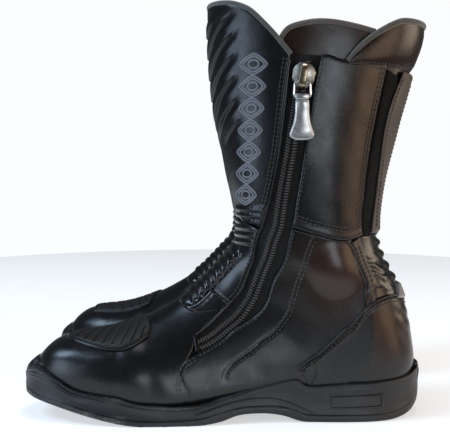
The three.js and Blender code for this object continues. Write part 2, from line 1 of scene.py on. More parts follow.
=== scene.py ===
# The looks of a pair of motorcycle riding boots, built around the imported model.
# Shapes are worked out in millimetres about the right boot's own centre plane, with its inner
# (medial) side at -Y, and every piece is mirrored for the left boot.
import json
import math

import bpy
import numpy as np
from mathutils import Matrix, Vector


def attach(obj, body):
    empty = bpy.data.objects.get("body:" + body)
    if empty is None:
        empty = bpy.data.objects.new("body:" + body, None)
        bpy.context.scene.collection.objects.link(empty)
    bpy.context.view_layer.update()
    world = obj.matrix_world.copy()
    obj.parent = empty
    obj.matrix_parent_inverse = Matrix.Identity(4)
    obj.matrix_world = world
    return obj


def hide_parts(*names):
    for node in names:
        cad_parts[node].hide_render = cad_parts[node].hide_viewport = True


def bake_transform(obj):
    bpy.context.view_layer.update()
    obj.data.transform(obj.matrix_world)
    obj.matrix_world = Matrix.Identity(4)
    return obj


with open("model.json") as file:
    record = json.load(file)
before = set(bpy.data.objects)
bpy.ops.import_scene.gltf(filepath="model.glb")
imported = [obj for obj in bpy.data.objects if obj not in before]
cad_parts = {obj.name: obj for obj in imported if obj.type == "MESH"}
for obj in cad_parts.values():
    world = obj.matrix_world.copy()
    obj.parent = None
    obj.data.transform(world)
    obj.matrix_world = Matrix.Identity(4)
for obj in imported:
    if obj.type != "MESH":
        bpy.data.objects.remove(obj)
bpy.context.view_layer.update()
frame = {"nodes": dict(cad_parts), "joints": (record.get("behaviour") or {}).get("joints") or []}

MM = 0.001
SIDES = (("right", 1), ("left", -1))

# The pair's spacing and the slider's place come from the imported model.
JOINTS = {joint["name"]: joint for joint in frame["joints"]}
HALF_SPACING = abs(JOINTS["right_ankle_flex"]["pos_m"][1]) / MM
PITCH = 1.9              # between the points of a panel
LEATHER = 1.9

# ---------------------------------------------------------------- the outer skin

# Sections from the top of the shaft, down the ankle and out to the toe, in the plane of their
# front (or top) and back (or sole) points:
# front x, front z, back x, back z, half width, shift in y, widest at, front power, back power
STATIONS = np.array([
    [-11.5, 332, 159.6, 320, 58, 0, 0.52, 2.1, 2.2],
    [-11, 300, 154.1, 292, 57, 0, 0.52, 2.1, 2.2],
    [-9.5, 272, 146, 268, 55.5, 0, 0.52, 2.1, 2.2],
    [-7, 245, 139, 243, 54, 0, 0.52, 2.1, 2.2],
    [-3, 220, 132.5, 218, 52, 0, 0.52, 2.1, 2.2],
    [2.5, 190, 125, 188, 49.5, 0, 0.52, 2.1, 2.2],
    [7.5, 168, 121.7, 166, 47.5, 0, 0.52, 2.1, 2.2],
    [10.3, 152, 121, 151, 46, 0, 0.53, 2.1, 2.2],
    [10, 141, 122.5, 137, 44.5, 0, 0.54, 2.1, 2.2],
    [8, 132, 128, 122, 43, 0, 0.56, 2.1, 2.2],
    [3.5, 126, 137, 105, 41.5, 0, 0.58, 2.1, 2.3],
    [-1, 121.5, 144, 86, 40, 0, 0.6, 2.1, 2.4],
    [-6, 116, 149, 62, 39, 0, 0.63, 2.1, 2.6],
    [-11.3, 110.6, 150, 38, 38, 0, 0.66, 2.1, 3],
    [-17, 105, 136, 21, 37.5, 0, 0.68, 2.1, 3.4],
    [-23, 99.7, 116, 20, 37.5, 0, 0.7, 2.1, 4],
    [-31.4, 92.8, 88, 20, 38, 0, 0.7, 2.1, 4],
    [-42, 86, 56, 19, 39, 0, 0.7, 2.1, 4],
    [-54.9, 78.9, 24, 16, 41.5, 0, 0.7, 2.2, 4],
    [-66, 73.9, -8, 11, 45, 0, 0.7, 2.2, 4],
    [-77, 69.5, -38, 8, 47.5, -1, 0.7, 2.3, 4],
    [-90, 65.5, -66, 9, 47, -2, 0.7, 2.3, 4],
    [-104, 63, -94, 12.5, 42.5, -3, 0.68, 2.4, 4],
    [-118, 61.5, -118, 17, 35.5, -4, 0.65, 2.5, 4],
    [-130, 58.5, -133, 22, 28, -5, 0.62, 2.5, 3.6],
    [-139, 53, -143, 27, 20, -5.5, 0.58, 2.4, 3],
    [-146, 45.5, -149, 32.5, 10, -6, 0.55, 2.2, 2.4],
])
LAST_STATION = len(STATIONS) - 1


def spline(rows, at):
    """Smooth values between rows of numbers, at positions counted in rows."""
    rows = np.asarray(rows, float)
    at = np.clip(np.asarray(at, float), 0, len(rows) - 1)
    k = np.minimum(at.astype(int), len(rows) - 2)
    f = (at - k)[..., None]
    a, b = rows[k], rows[k + 1]
    before = rows[np.maximum(k - 1, 0)]
    after = rows[np.minimum(k + 2, len(rows) - 1)]
    ma, mb = (b - before) / 2, (after - a) / 2
    at_a = (2 * f**3 - 3 * f**2 + 1) * a + (f**3 - 2 * f**2 + f) * ma
    return at_a + (3 * f**2 - 2 * f**3) * b + (f**3 - f**2) * mb


def core_of(row):
    """The middle of a section, which lies inside the boot."""
    return np.stack([(row[..., 0] + row[..., 2]) / 2, row[..., 5], (row[..., 1] + row[..., 3]) / 2], -1)


def unit(vectors):
    return vectors / np.linalg.norm(vectors, axis=-1, keepdims=True)


def sideways(points, normals):
    """Along a line on the skin: its own direction, and the direction across it."""
    tangents = np.gradient(points, axis=0)
    return tangents, unit(np.cross(tangents, normals))


def skin(s, turn):
    """Points of the skin. Turn 0 is the front, a quarter is the lateral side, and -0.25 the medial side."""
    row = spline(STATIONS, s)
    angle = turn * 2 * math.pi
    c, sn = np.cos(angle), np.sin(angle)
    at_front = c >= 0
    power = 2 / np.where(at_front, row[..., 7], row[..., 8])
    reach = np.abs(c) ** power
    widest = row[..., 6]
    along = np.where(at_front, widest * (1 - reach), widest + (1 - widest) * reach)
    side = row[..., 5] + np.sign(sn) * row[..., 4] * np.abs(sn) ** power
    x = row[..., 0] + (row[..., 2] - row[..., 0]) * along
    z = row[..., 1] + (row[..., 3] - row[..., 1]) * along
    return np.stack([x, side, z], -1)


FINE = np.linspace(0, LAST_STATION, 2601)
FINE_ROWS = spline(STATIONS, FINE)


def locate(x, z):
    """The section and the turn of a place on the side view, on the lateral side."""
    fx, fz, bx, bz = FINE_ROWS[:, 0], FINE_ROWS[:, 1], FINE_ROWS[:, 2], FINE_ROWS[:, 3]
    signed = (bx - fx) * (z - fz) - (bz - fz) * (x - fx)
    crossings = np.nonzero((signed[:-1] <= 0) & (signed[1:] > 0))[0]
    k = crossings[0] if len(crossings) else (0 if signed[0] > 0 else len(FINE) - 2)
    f = np.clip(-signed[k] / max(signed[k + 1] - signed[k], 1e-9), 0, 1)
    row = FINE_ROWS[k] * (1 - f) + FINE_ROWS[k + 1] * f
    chord = np.array([row[2] - row[0], row[3] - row[1]])
    along = np.clip(((x - row[0]) * chord[0] + (z - row[1]) * chord[1]) / (chord @ chord), 0, 1)
    if along < row[6]:
        turn = math.acos(min((1 - along / row[6]) ** (row[7] / 2), 1)) / (2 * math.pi)
    else:
        turn = 0.5 - math.acos(min(((along - row[6]) / (1 - row[6])) ** (row[8] / 2), 1)) / (2 * math.pi)
    return FINE[k] + f * (FINE[1] - FINE[0]), turn


def place(x, z, side):
    """A place as (section, turn): side is -1 medial, 1 lateral, or -2 medial counted round the back."""
    s, turn = locate(x, z)
    return (s, {-1: -turn, 1: turn, -2: 1 - turn}[side])


def soften(keys, rounds=4):
    """Rounds a line's corners, and keeps its ends."""
    keys = np.asarray(keys, float)
    for _ in range(rounds):
        a, b = keys[:-1], keys[1:]
        cut = np.stack([0.75 * a + 0.25 * b, 0.25 * a + 0.75 * b], 1).reshape(-1, 2)
        keys = np.concatenate([keys[:1], cut, keys[-1:]])
    return keys


def resample(keys, count):
    """A smooth line along (section, turn) places, with evenly spaced points."""
    dense = soften(keys, 5 if len(keys) < 4 else 4)
    points = skin(dense[:, 0], dense[:, 1])
    run = np.concatenate([[0], np.cumsum(np.linalg.norm(np.diff(points, axis=0), axis=1))])
    at = np.linspace(0, run[-1], count)
    return np.stack([np.interp(at, run, dense[:, 0]), np.interp(at, run, dense[:, 1])], -1)


def line_length(keys):
    dense = soften(keys)
    return np.linalg.norm(np.diff(skin(dense[:, 0], dense[:, 1]), axis=0), axis=1).sum()


def medial(points):
    return [place(x, z, -1) for x, z in points]


def lateral(points):
    return [place(x, z, 1) for x, z in points]


class Panel:
    """A four-sided piece of the skin, between four corners, through the places along each side."""

    def __init__(self, corners, bottom=(), top=(), left=(), right=(), pitch=PITCH):
        low_left, low_right, high_left, high_right = corners
        bottom = [low_left, *bottom, low_right]
        top = [high_left, *top, high_right]
        left = [low_left, *left, high_left]
        right = [low_right, *right, high_right]
        across = max(int(max(line_length(bottom), line_length(top)) / pitch), 6) + 1
        up = max(int(max(line_length(left), line_length(right)) / pitch), 6) + 1
        bottom, top = resample(bottom, across), resample(top, across)
        left, right = resample(left, up), resample(right, up)
        u = np.linspace(0, 1, across)[None, :, None]
        v = np.linspace(0, 1, up)[:, None, None]
        ruled = (1 - v) * bottom[None] + v * top[None] + (1 - u) * left[:, None] + u * right[:, None]
        corner_share = ((1 - u) * (1 - v) * bottom[0] + u * (1 - v) * bottom[-1]
                        + (1 - u) * v * top[0] + u * v * top[-1])
        at = ruled - corner_share
        self.s, self.turn = at[..., 0], at[..., 1]
        self.points = skin(self.s, self.turn)
        self.normals = grid_normals(self.points)
        core = core_of(spline(STATIONS, at[..., 0]))
        self.flipped = bool(np.sum(self.normals * (self.points - core)) < 0)
        if self.flipped:
            self.normals = -self.normals
        step_u = np.linalg.norm(np.diff(self.points, axis=1), axis=2)
        step_v = np.linalg.norm(np.diff(self.points, axis=0), axis=2)
        run_u = np.concatenate([np.zeros((up, 1)), np.cumsum(step_u, 1)], 1)
        run_v = np.concatenate([np.zeros((1, across)), np.cumsum(step_v, 0)], 0)
        self.from_left, self.from_right = run_u, run_u[:, -1:] - run_u
        self.from_bottom, self.from_top = run_v, run_v[-1:] - run_v
        self.height = np.zeros(self.points.shape[:2])

    @property
    def x(self):
        return self.points[..., 0]

    @property
    def y(self):
        return self.points[..., 1]

    @property
    def z(self):
        return self.points[..., 2]

    def edges(self, left=0, right=0, bottom=0, top=0, reach=2.4):
        """Rolls each side down by its own depth, over a short reach."""
        for drop, distance in ((left, self.from_left), (right, self.from_right),
                               (bottom, self.from_bottom), (top, self.from_top)):
            share = np.clip(1 - distance / reach, 0, 1)
            self.height -= drop * (1 - np.sqrt(np.clip(1 - share**2, 0, 1)))
        return self


def grid_normals(points):
    normals = np.cross(np.gradient(points, axis=1), np.gradient(points, axis=0))
    return normals / np.maximum(np.linalg.norm(normals, axis=-1, keepdims=True), 1e-9)


def distance_to_line(points, line):
    """Shortest distance from each point to a line of 3-D points."""
    shape = points.shape[:-1]
    p = points.reshape(-1, 3)
    best = np.full(len(p), 1e9)
    for a, b in zip(line[:-1], line[1:]):
        ab = b - a
        t = np.clip(((p - a) @ ab) / max(ab @ ab, 1e-9), 0, 1)
        best = np.minimum(best, np.linalg.norm(p - (a + t[:, None] * ab), axis=1))
    return best.reshape(shape)


def seam_line(keys, pitch=3.0):
    count = max(int(line_length(keys) / pitch), 4)
    at = resample(keys, count)
    return skin(at[:, 0], at[:, 1])


def groove(points, keys, width=1.2, depth=0.6):
    return -depth * np.exp(-(distance_to_line(points, seam_line(keys)) / width) ** 2)


def value_noise(points, scale, seed):
    """Smooth noise between -1 and 1 at 3-D points, for folds too large for a bump."""
    rng = np.random.default_rng(seed)
    total = np.zeros(points.shape[:-1])
    for _ in range(7):
        direction = rng.normal(size=3)
        direction /= np.linalg.norm(direction)
        waves = points @ direction * (2 * math.pi / scale) * rng.uniform(0.6, 1.4)
        total += np.sin(waves + rng.uniform(0, 6.28))
    return total / 7


# ---------------------------------------------------------------- making objects

def build(name, points, faces, material, body=None, slot=None, stands_for=(), marks=None):
    """Makes the right and the left piece from millimetre points about the right boot's centre plane."""
    made = []
    for side, sign in SIDES:
        mesh = bpy.data.meshes.new(f"{side}_{name}_skin")
        placed = np.array(points, float) * [1, sign, 1] + [0, -sign * HALF_SPACING, 0]
        polygons = faces if sign > 0 else [tuple(reversed(face)) for face in faces]
        mesh.from_pydata((placed * MM).tolist(), [], polygons)
        mesh.update()
        mesh.polygons.foreach_set("use_smooth", [True] * len(mesh.polygons))
        mesh.set_sharp_from_angle(angle=math.radians(50))
        for key, values in (marks or {}).items():
            attribute = mesh.attributes.new(key, "FLOAT", "POINT")
            attribute.data.foreach_set("value", np.asarray(values, np.float32))
        piece = bpy.data.objects.new(f"{side}_{name}_skin", mesh)
        bpy.context.scene.collection.objects.link(piece)
        piece.data.materials.append(material)
        if body is None:
            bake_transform(piece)
        else:
            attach(piece, f"{side}_{body}")
        if stands_for:
            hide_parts(*[f"{side}_{node}" for node in stands_for])
        made.append(piece)
    return made


def slab_mesh(outer, inner, flipped=False):
    """A closed slab between two grids of points of the same shape."""
    up, across = outer.shape[:2]
    count = up * across
    points = np.concatenate([outer.reshape(-1, 3), inner.reshape(-1, 3)])
    index = np.arange(count).reshape(up, across)
    a, b, c, d = index[:-1, :-1], index[:-1, 1:], index[1:, 1:], index[1:, :-1]
    front = np.stack([a, b, c, d], -1).reshape(-1, 4)
    back = np.stack([a, d, c, b], -1).reshape(-1, 4) + count
    rim = np.concatenate([index[0], index[1:, -1], index[-1, -2::-1], index[-2:0:-1, 0]])
    after = np.roll(rim, -1)
    sides = np.stack([after, rim, rim + count, after + count], -1)
    faces = np.concatenate([front, back, sides])
    if flipped:
        faces = faces[:, ::-1]
    return points, [tuple(int(i) for i in face) for face in faces]


def panel_piece(name, panel, material, thickness=LEATHER, floor=None, marks=None, **facts):
    """A panel as a closed slab. Its inner face follows the skin, or lies at a fixed height above it."""
    under = np.minimum(panel.height, 0) - thickness if floor is None else np.full_like(panel.height, floor)
    outer = panel.points + panel.normals * panel.height[..., None]
    inner = panel.points + panel.normals * under[..., None]
    points, faces = slab_mesh(outer, inner, panel.flipped)
    doubled = {key: np.tile(np.asarray(values).reshape(-1), 2) for key, values in (marks or {}).items()}
    return build(name, points, faces, material, marks=doubled, **facts)


def sweep_mesh(line, normals, profile, closed=False):
    """A solid swept along a line. The profile is in (out of the skin, along the skin) millimetres."""
    tangents = np.gradient(line, axis=0)
    if closed:
        tangents = np.roll(line, -1, 0) - np.roll(line, 1, 0)
    tangents = unit(tangents)
    across = unit(np.cross(tangents, normals))
    out = np.cross(across, tangents)
    rings = [line + out * n + across * b for n, b in profile]
    points = np.stack(rings, 1)
    count, sides = points.shape[:2]
    faces = []
    for i in range(count if closed else count - 1):
        j = (i + 1) % count
        for k in range(sides):
            m = (k + 1) % sides
            faces.append((i * sides + k, i * sides + m, j * sides + m, j * sides + k))
    flat = points.reshape(-1, 3)
    if not closed:
        faces.append(tuple(range(sides))[::-1])
        faces.append(tuple((count - 1) * sides + k for k in range(sides)))
    return flat, faces


def oval(out_radius, along_radius, sides=8, out_shift=0.0, along_shift=0.0):
    turns = np.arange(sides) * 2 * math.pi / sides
    return [(out_shift + out_radius * math.cos(a), along_shift + along_radius * math.sin(a)) for a in turns]


def skin_frame(at):
    """Points and outward normals along a line of (section, turn) places."""
    step = 0.002
    points = skin(at[:, 0], at[:, 1])
    along = skin(at[:, 0] + step * 5, at[:, 1]) - skin(at[:, 0] - step * 5, at[:, 1])
    around = skin(at[:, 0], at[:, 1] + step) - skin(at[:, 0], at[:, 1] - step)
    normals = unit(np.cross(along, around))
    core = core_of(spline(STATIONS, at[:, 0]))
    flip = np.sign(np.sum(normals * (points - core), axis=1))
    return points, normals * flip[:, None]


class Pile:
    """Gathers many small solids into one mesh."""

    def __init__(self):
        self.points, self.faces, self.count = [], [], 0

    def add(self, points, faces):
        self.points.append(np.asarray(points))
        self.faces += [tuple(i + self.count for i in face) for face in faces]
        self.count += len(points)

    def build(self, name, material, **facts):
        return build(name, np.concatenate(self.points), self.faces, material, **facts)


def bead(centre, along, out, length, width, height, sides=6, rings=4):
    """A small rounded solid, such as a stitch or a zip tooth."""
    along = along / np.linalg.norm(along)
    across = np.cross(out, along)
    across /= np.linalg.norm(across)
    out = np.cross(along, across)
    points = [centre - along * length / 2]
    for r in range(1, rings):
        a = math.pi * r / rings
        for k in range(sides):
            b = 2 * math.pi * k / sides
            from_axis = across * math.cos(b) * width / 2 + out * math.sin(b) * height / 2
            points.append(centre - along * math.cos(a) * length / 2 + from_axis * math.sin(a) ** 0.6)
    points.append(centre + along * length / 2)
    faces = []
    last = len(points) - 1
    for k in range(sides):
        m = (k + 1) % sides
        faces.append((0, 1 + m, 1 + k))
        faces.append((last, last - sides + k, last - sides + m))
        for r in range(rings - 2):
            a = 1 + r * sides
            faces.append((a + k, a + m, a + sides + m, a + sides + k))
    return np.array(points), faces


STITCH_PITCH = 3.3


def stitches(pile, keys, beside=0.0, lift=0.25, pitch=STITCH_PITCH):
    """A row of stitches along a seam, moved sideways along the skin."""
    count = max(int(line_length(keys) / pitch), 3)
    points, normals = skin_frame(resample(keys, count + 1))
    tangents, across = sideways(points, normals)
    for i in range(count):
        middle = (points[i] + points[i + 1]) / 2 + across[i] * beside
        middle = middle + normals[i] * (lift + relief(middle) + 0.1)
        pile.add(*bead(middle, tangents[i], normals[i], pitch * 0.78, 1.05, 0.95))


def stitch_rows(pile, keys, besides, lift):
    for beside in besides:
        stitches(pile, keys, beside, lift)


# ---------------------------------------------------------------- materials

PER_METRE = 1000
BANDS_PER_SIZE = 3.142 / 6.2832    # bands lie 0.314 apart at scale 1, so here 0.63 of the size asked for


class Look:
    """A node-based material, built around one Principled shader."""

    def __init__(self, name, **constants):
        self.material = bpy.data.materials.new(name)
        self.material.use_nodes = True
        self.tree = self.material.node_tree
        self.surface = self.tree.nodes["Principled BSDF"]
        for socket, value in constants.items():
            self.surface.inputs[socket.replace("_", " ")].default_value = value
        self.place = self.add("ShaderNodeTexCoord").outputs["Object"]

    def add(self, kind, inputs=(), **settings):
        node = self.tree.nodes.new(kind)
        for key, value in settings.items():
            setattr(node, key, value)
        for key, value in dict(inputs).items():
            if isinstance(value, bpy.types.NodeSocket):
                self.tree.links.new(value, node.inputs[key])
            else:
                node.inputs[key].default_value = value
        return node

    def stretched(self, factors):
        return self.add("ShaderNodeMapping", {"Vector": self.place, "Scale": factors}).outputs[0]

    def noise(self, size_mm, detail=3.0, rough=0.55, place=None, distort=0.0):
        inputs = {"Vector": place or self.place, "Scale": PER_METRE / size_mm, "Detail": detail,
                  "Roughness": rough, "Distortion": distort}
        return self.add("ShaderNodeTexNoise", inputs).outputs["Fac"]

    def cells(self, size_mm, feature="DISTANCE_TO_EDGE", place=None):
        inputs = {"Vector": place or self.place, "Scale": PER_METRE / size_mm}
        return self.add("ShaderNodeTexVoronoi", inputs, feature=feature).outputs["Distance"]

    def waves(self, size_mm, direction="X", place=None, distort=0.0):
        inputs = {"Vector": place or self.place, "Scale": BANDS_PER_SIZE * PER_METRE / size_mm,
                  "Distortion": distort, "Detail": 1.0}
        return self.add("ShaderNodeTexWave", inputs, bands_direction=direction).outputs["Fac"]

    def mark(self, name):
        return self.add("ShaderNodeAttribute", attribute_name=name).outputs["Fac"]

    def remap(self, value, low, high, to_low=0.0, to_high=1.0):
        inputs = {"Value": value, "From Min": low, "From Max": high, "To Min": to_low, "To Max": to_high}
        return self.add("ShaderNodeMapRange", inputs).outputs[0]

    def maths(self, operation, a, b):
        node = self.add("ShaderNodeMath", operation=operation)
        for socket, value in zip(node.inputs, (a, b)):
            if isinstance(value, bpy.types.NodeSocket):
                self.tree.links.new(value, socket)
            else:
                socket.default_value = value
        return node.outputs[0]

    def blend(self, share, a, b):
        node = self.add("ShaderNodeMix", data_type="RGBA")
        for key, value in ((0, share), (6, a), (7, b)):
            if isinstance(value, bpy.types.NodeSocket):
                self.tree.links.new(value, node.inputs[key])
            else:
                node.inputs[key].default_value = value if key == 0 else (*value, 1)
        return node.outputs[2]

    def bump(self, height, depth_mm, strength=1.0, under=None):
        inputs = {"Height": height, "Distance": depth_mm * MM, "Strength": strength}
        if under:
            inputs["Normal"] = under
        return self.add("ShaderNodeBump", inputs).outputs[0]

    def finish(self, color, roughness=None, normal=None):
        self.tree.links.new(color, self.surface.inputs["Base Color"])
        if roughness:
            self.tree.links.new(roughness, self.surface.inputs["Roughness"])
        if normal:
            self.tree.links.new(normal, self.surface.inputs["Normal"])
        return self.material


def leather(name, base, warm_reflection, worn_and_lit, gloss, grain=1.0, coat=0.1, depth=1.0):
    """Black side leather: pebbled grain, soft creases, a painted warm reflection in brown patches, and edges
    lightened partly by rubbing and partly as a painted highlight.
    """
    look = Look(name, Specular_IOR_Level=0.36, Coat_Weight=coat, Coat_Roughness=0.2)
    grain_cells = look.cells(grain)
    pores = look.noise(grain * 0.6, 3)
    creases = look.noise(13, 3, 0.5, distort=0.5)
    patches = look.noise(60, 2)
    edge_breakup = look.noise(3.2, 5, 0.6, look.stretched((1, 1, 0.35)))
    color = look.blend(look.remap(patches, 0.35, 0.7), base, tuple(c * 1.35 for c in base))
    # Painted warm reflection: a brown tint where the warm mark is set, broken into patches by the noise.
    warm_reflection_share = look.maths("MULTIPLY", look.mark("warm_reflection"), look.remap(patches, 0.25, 0.75, 0.6, 1))
    color = look.blend(warm_reflection_share, color, warm_reflection)
    # Edges lightened by the wear mark: partly rubbing, partly a painted highlight on the rolled edges.
    rubbed_and_edge_lit = look.maths("MULTIPLY", look.mark("wear"), look.remap(edge_breakup, 0.5, 0.75))
    color = look.blend(rubbed_and_edge_lit, color, worn_and_lit)
    rough = look.maths("ADD", look.remap(creases, 0.3, 0.7, gloss - 0.03, gloss + 0.05),
                       look.maths("MULTIPLY", rubbed_and_edge_lit, 0.12))
    normal = look.bump(creases, 0.35, 0.35 * depth)
    normal = look.bump(look.remap(grain_cells, 0, 0.28), 0.07, 0.4 * depth, normal)
    return look.finish(color, rough, look.bump(pores, 0.05, 0.3 * depth, normal))


def rubber(name, base, dust_and_highlight_colour, rough, speck=1.6):
    look = Look(name, Specular_IOR_Level=0.4)
    dust = look.noise(14, 8, 0.65, look.stretched((0.5, 1, 1.6)))
    fine = look.noise(speck, 5, 0.6)
    dirt_and_lip_highlight = look.maths("MULTIPLY", look.remap(dust, 0.48, 0.7), look.remap(fine, 0.35, 0.62, 0.15, 1))
    # The wear mark adds scuffs, and on the midsole a painted highlight along its top lip.
    worn_and_lit = look.maths("MULTIPLY", dirt_and_lip_highlight, look.mark("wear"))
    dirt_and_lip_highlight = look.maths("ADD", look.maths("MULTIPLY", dirt_and_lip_highlight, 0.22), worn_and_lit)
    color = look.blend(dirt_and_lip_highlight, base, dust_and_highlight_colour)
    normal = look.bump(look.noise(5, 6, 0.6), 0.35, 0.5)
    roughness = look.remap(fine, 0.2, 0.8, rough - 0.1, rough + 0.12)
    return look.finish(color, roughness, look.bump(fine, 0.12, 0.6, normal))


def felt(name, base, pale):
    """Brushed nylon binding, with a pale nap."""
    look = Look(name, Sheen_Weight=0.45, Sheen_Roughness=0.5, Specular_IOR_Level=0.2)
    nap = look.noise(0.7, 6, 0.7)
    blots = look.noise(9, 4)
    color = look.blend(look.remap(nap, 0.35, 0.7), base, pale)
    color = look.blend(look.remap(blots, 0.4, 0.75, 0, 0.35), color, tuple(c * 0.6 for c in base))
    return look.finish(color, look.remap(nap, 0, 1, 0.85, 1), look.bump(nap, 0.4, 0.8))


def woven(name, base, pale, thread=0.6):
    """Woven tape or lining: crossing threads with a little fluff."""
    look = Look(name, Sheen_Weight=0.25, Specular_IOR_Level=0.25)
    warp = look.waves(thread, "X")
    weft = look.waves(thread, "Z")
    cross = look.maths("MAXIMUM", warp, weft)
    fluff = look.noise(1.5, 6, 0.7)
    color = look.blend(look.maths("MULTIPLY", cross, look.remap(fluff, 0.2, 0.7)), base, pale)
    return look.finish(color, look.remap(fluff, 0, 1, 0.75, 0.98), look.bump(cross, 0.12, 0.7))


def hooks_fabric(name):
    look = Look(name, Sheen_Weight=0.06, Specular_IOR_Level=0.1)
    tufts = look.noise(0.8, 8, 0.75)
    lint = look.noise(0.5, 3)
    color = look.blend(look.remap(tufts, 0.35, 0.75), (0.002, 0.002, 0.0022), (0.012, 0.0115, 0.012))
    color = look.blend(look.remap(lint, 0.74, 0.8), color, (0.18, 0.17, 0.16))
    return look.finish(color, look.remap(tufts, 0, 1, 0.85, 1), look.bump(tufts, 0.7, 1))


def metal(name, base, dull, rough, brushed=False):
    look = Look(name, Metallic=1.0)
    place = look.stretched((1, 1, 0.06)) if brushed else look.place
    hair = look.noise(0.5, 6, 0.7, place)
    wear = look.noise(3.5, 5)
    color = look.blend(look.remap(wear, 0.4, 0.72), base, dull)
    roughness = look.remap(hair, 0.25, 0.8, rough - 0.06, rough + 0.1)
    return look.finish(color, roughness, look.bump(hair, 0.02, 0.3))


def moulded(name, base, pale, rough, fibre=2.5):
    look = Look(name)
    grain = look.noise(fibre, 7, 0.7)
    color = look.blend(look.remap(grain, 0.35, 0.7), base, pale)
    roughness = look.remap(grain, 0.2, 0.8, rough - 0.1, rough + 0.1)
    return look.finish(color, roughness, look.bump(grain, 0.1, 0.5))


BLACK = (0.0042, 0.0043, 0.0048)
# The brown of the painted warm reflection.
REFLECTION_BROWN = (0.034, 0.0145, 0.0080)
# Grey of rubbed edges, also used for their painted highlight.
GREY_WORN_AND_LIT = (0.024, 0.0235, 0.024)
FOOT_LEATHER = leather("foot_leather_look", BLACK, REFLECTION_BROWN, GREY_WORN_AND_LIT, 0.25)
PADDED_LEATHER = leather("padded_leather_look", (0.0038, 0.0040, 0.0046), REFLECTION_BROWN, GREY_WORN_AND_LIT, 0.25,
                         grain=0.8, coat=0.3, depth=0.15)
SHAFT_LEATHER = leather("shaft_leather_look", BLACK, REFLECTION_BROWN, GREY_WORN_AND_LIT, 0.27, 1.1)
FLAP_LEATHER = leather("flap_leather_look", (0.075, 0.064, 0.057), (0.085, 0.068, 0.058), (0.05, 0.045, 0.04),
                       0.5, grain=1.2, coat=0.03)
SOLE_RUBBER = rubber("sole_rubber_look", (0.0062, 0.0066, 0.0082), (0.125, 0.118, 0.108), 0.42)
PAD_RUBBER = rubber("shift_pad_look", (0.013, 0.0118, 0.0108), (0.046, 0.042, 0.038), 0.5, 0.9)
FELT = felt("felt_look", (0.055, 0.054, 0.046), (0.16, 0.158, 0.138))
ARCH_FELT = felt("arch_felt_look", (0.075, 0.064, 0.060), (0.19, 0.168, 0.158))
TAPE = woven("zip_tape_look", (0.003, 0.0028, 0.0027), (0.012, 0.011, 0.010), 0.8)
LINING_CLOTH = woven("lining_look", (0.012, 0.012, 0.013), (0.05, 0.05, 0.052), 1.6)
FOOTBED_CLOTH = woven("footbed_look", (0.02, 0.02, 0.021), (0.07, 0.07, 0.07), 1.1)
LOOP_CLOTH = hooks_fabric("hook_and_loop_look")
COIL = moulded("coil_look", (0.055, 0.052, 0.049), (0.12, 0.112, 0.104), 0.4, 1.2)
THREAD = moulded("thread_look", (0.020, 0.019, 0.018), (0.075, 0.070, 0.066), 0.5, 0.5)
SILVER_THREAD = moulded("silver_thread_look", (0.10, 0.106, 0.12), (0.26, 0.27, 0.295), 0.45, 0.5)
REFLECTOR = moulded("reflector_look", (0.20, 0.20, 0.20), (0.34, 0.34, 0.335), 0.45, 1.0)
PLASTIC = moulded("guard_plastic_look", (0.02, 0.02, 0.022), (0.04, 0.04, 0.042), 0.5)
BOARD = moulded("fibreboard_look", (0.17, 0.12, 0.07), (0.28, 0.21, 0.13), 0.85)
SPRING_STEEL = metal("spring_steel_look", (0.35, 0.36, 0.37), (0.22, 0.22, 0.23), 0.35, True)
NICKEL = metal("nickel_look", (0.46, 0.44, 0.39), (0.28, 0.26, 0.23), 0.36)
DARK_NICKEL = metal("dark_nickel_look", (0.34, 0.27, 0.19), (0.17, 0.13, 0.095), 0.26)
BRIGHT_WIRE = metal("bright_wire_look", (0.80, 0.79, 0.77), (0.55, 0.54, 0.52), 0.18)
SATIN_TAB = metal("satin_tab_look", (0.56, 0.555, 0.545), (0.40, 0.395, 0.385), 0.36, True)

# ---------------------------------------------------------------- the seams, on the side view

ZIP_FRONT = [(0.5, 87.8), (17.4, 108), (23, 123), (24.5, 138), (30, 153), (38.3, 183), (44.2, 219.5)]
ZIP_REAR = [(-2.2, 62.2), (10.6, 74.6), (33.7, 102.2), (43.7, 119), (50.6, 148.5), (52.7, 165), (60.4, 206)]
ZIP_CENTRE = [(-19.4, 58.6), (-11.3, 61.9), (4.6, 74.7), (18.9, 92.8), (29.2, 114.6), (35.1, 132.7),
              (41, 149.3), (42.4, 159.1), (46.6, 188.7), (50.1, 206.3), (54.4, 236.2), (58.9, 268.8)]
ZIP_FOOT_FRONT = (-23.4, 66.8)
ZIP_FOOT_REAR = (-19.6, 53.4)
ZIP_HEAD_FRONT = (49.5, 276)
ZIP_HEAD_REAR = (70.3, 272)
LATERAL_EDGE = [(34, 153), (41, 183), (46, 219.5)]
SHIN_TOP = [(34.6, 295), (22, 308.6), (13, 314), (2, 318)]
SHIN_TOP_FRONT = 319.5
ARCH_TOP = [(45.6, 294.8), (53, 297.7), (71, 300.5), (93, 297.3)]
COLLAR_TOP = [(97, 279), (105, 286.7), (115.5, 294.1), (126, 299.8), (135, 303)]
COLLAR_TIP = 303.2
CALF_REAR = [(103.2, 158), (105.8, 177.5), (108.4, 201), (113, 229.6)]
ANKLE_TOP = [(68, 143.6), (84, 139.2), (95, 138.6)]
QUARTER_REAR = [(107, 92), (107.4, 97.5), (108.2, 103.3), (106, 110), (102.4, 118), (99.6, 126)]
QUARTER_SEAM = [(60.6, 122.8), (47.4, 84.5), (32, 65), (20, 53.5), (7, 46)]
COUNTER_TOP = [(67.2, 51.9), (85.4, 70), (104.2, 86.2), (118, 94.7), (129.9, 96.8), (140.5, 93)]
INSTEP_BOTTOM = [(-8.4, 82.4), (-25.8, 80.6), (-35.3, 89)]
INSTEP_FRONT = 92.6
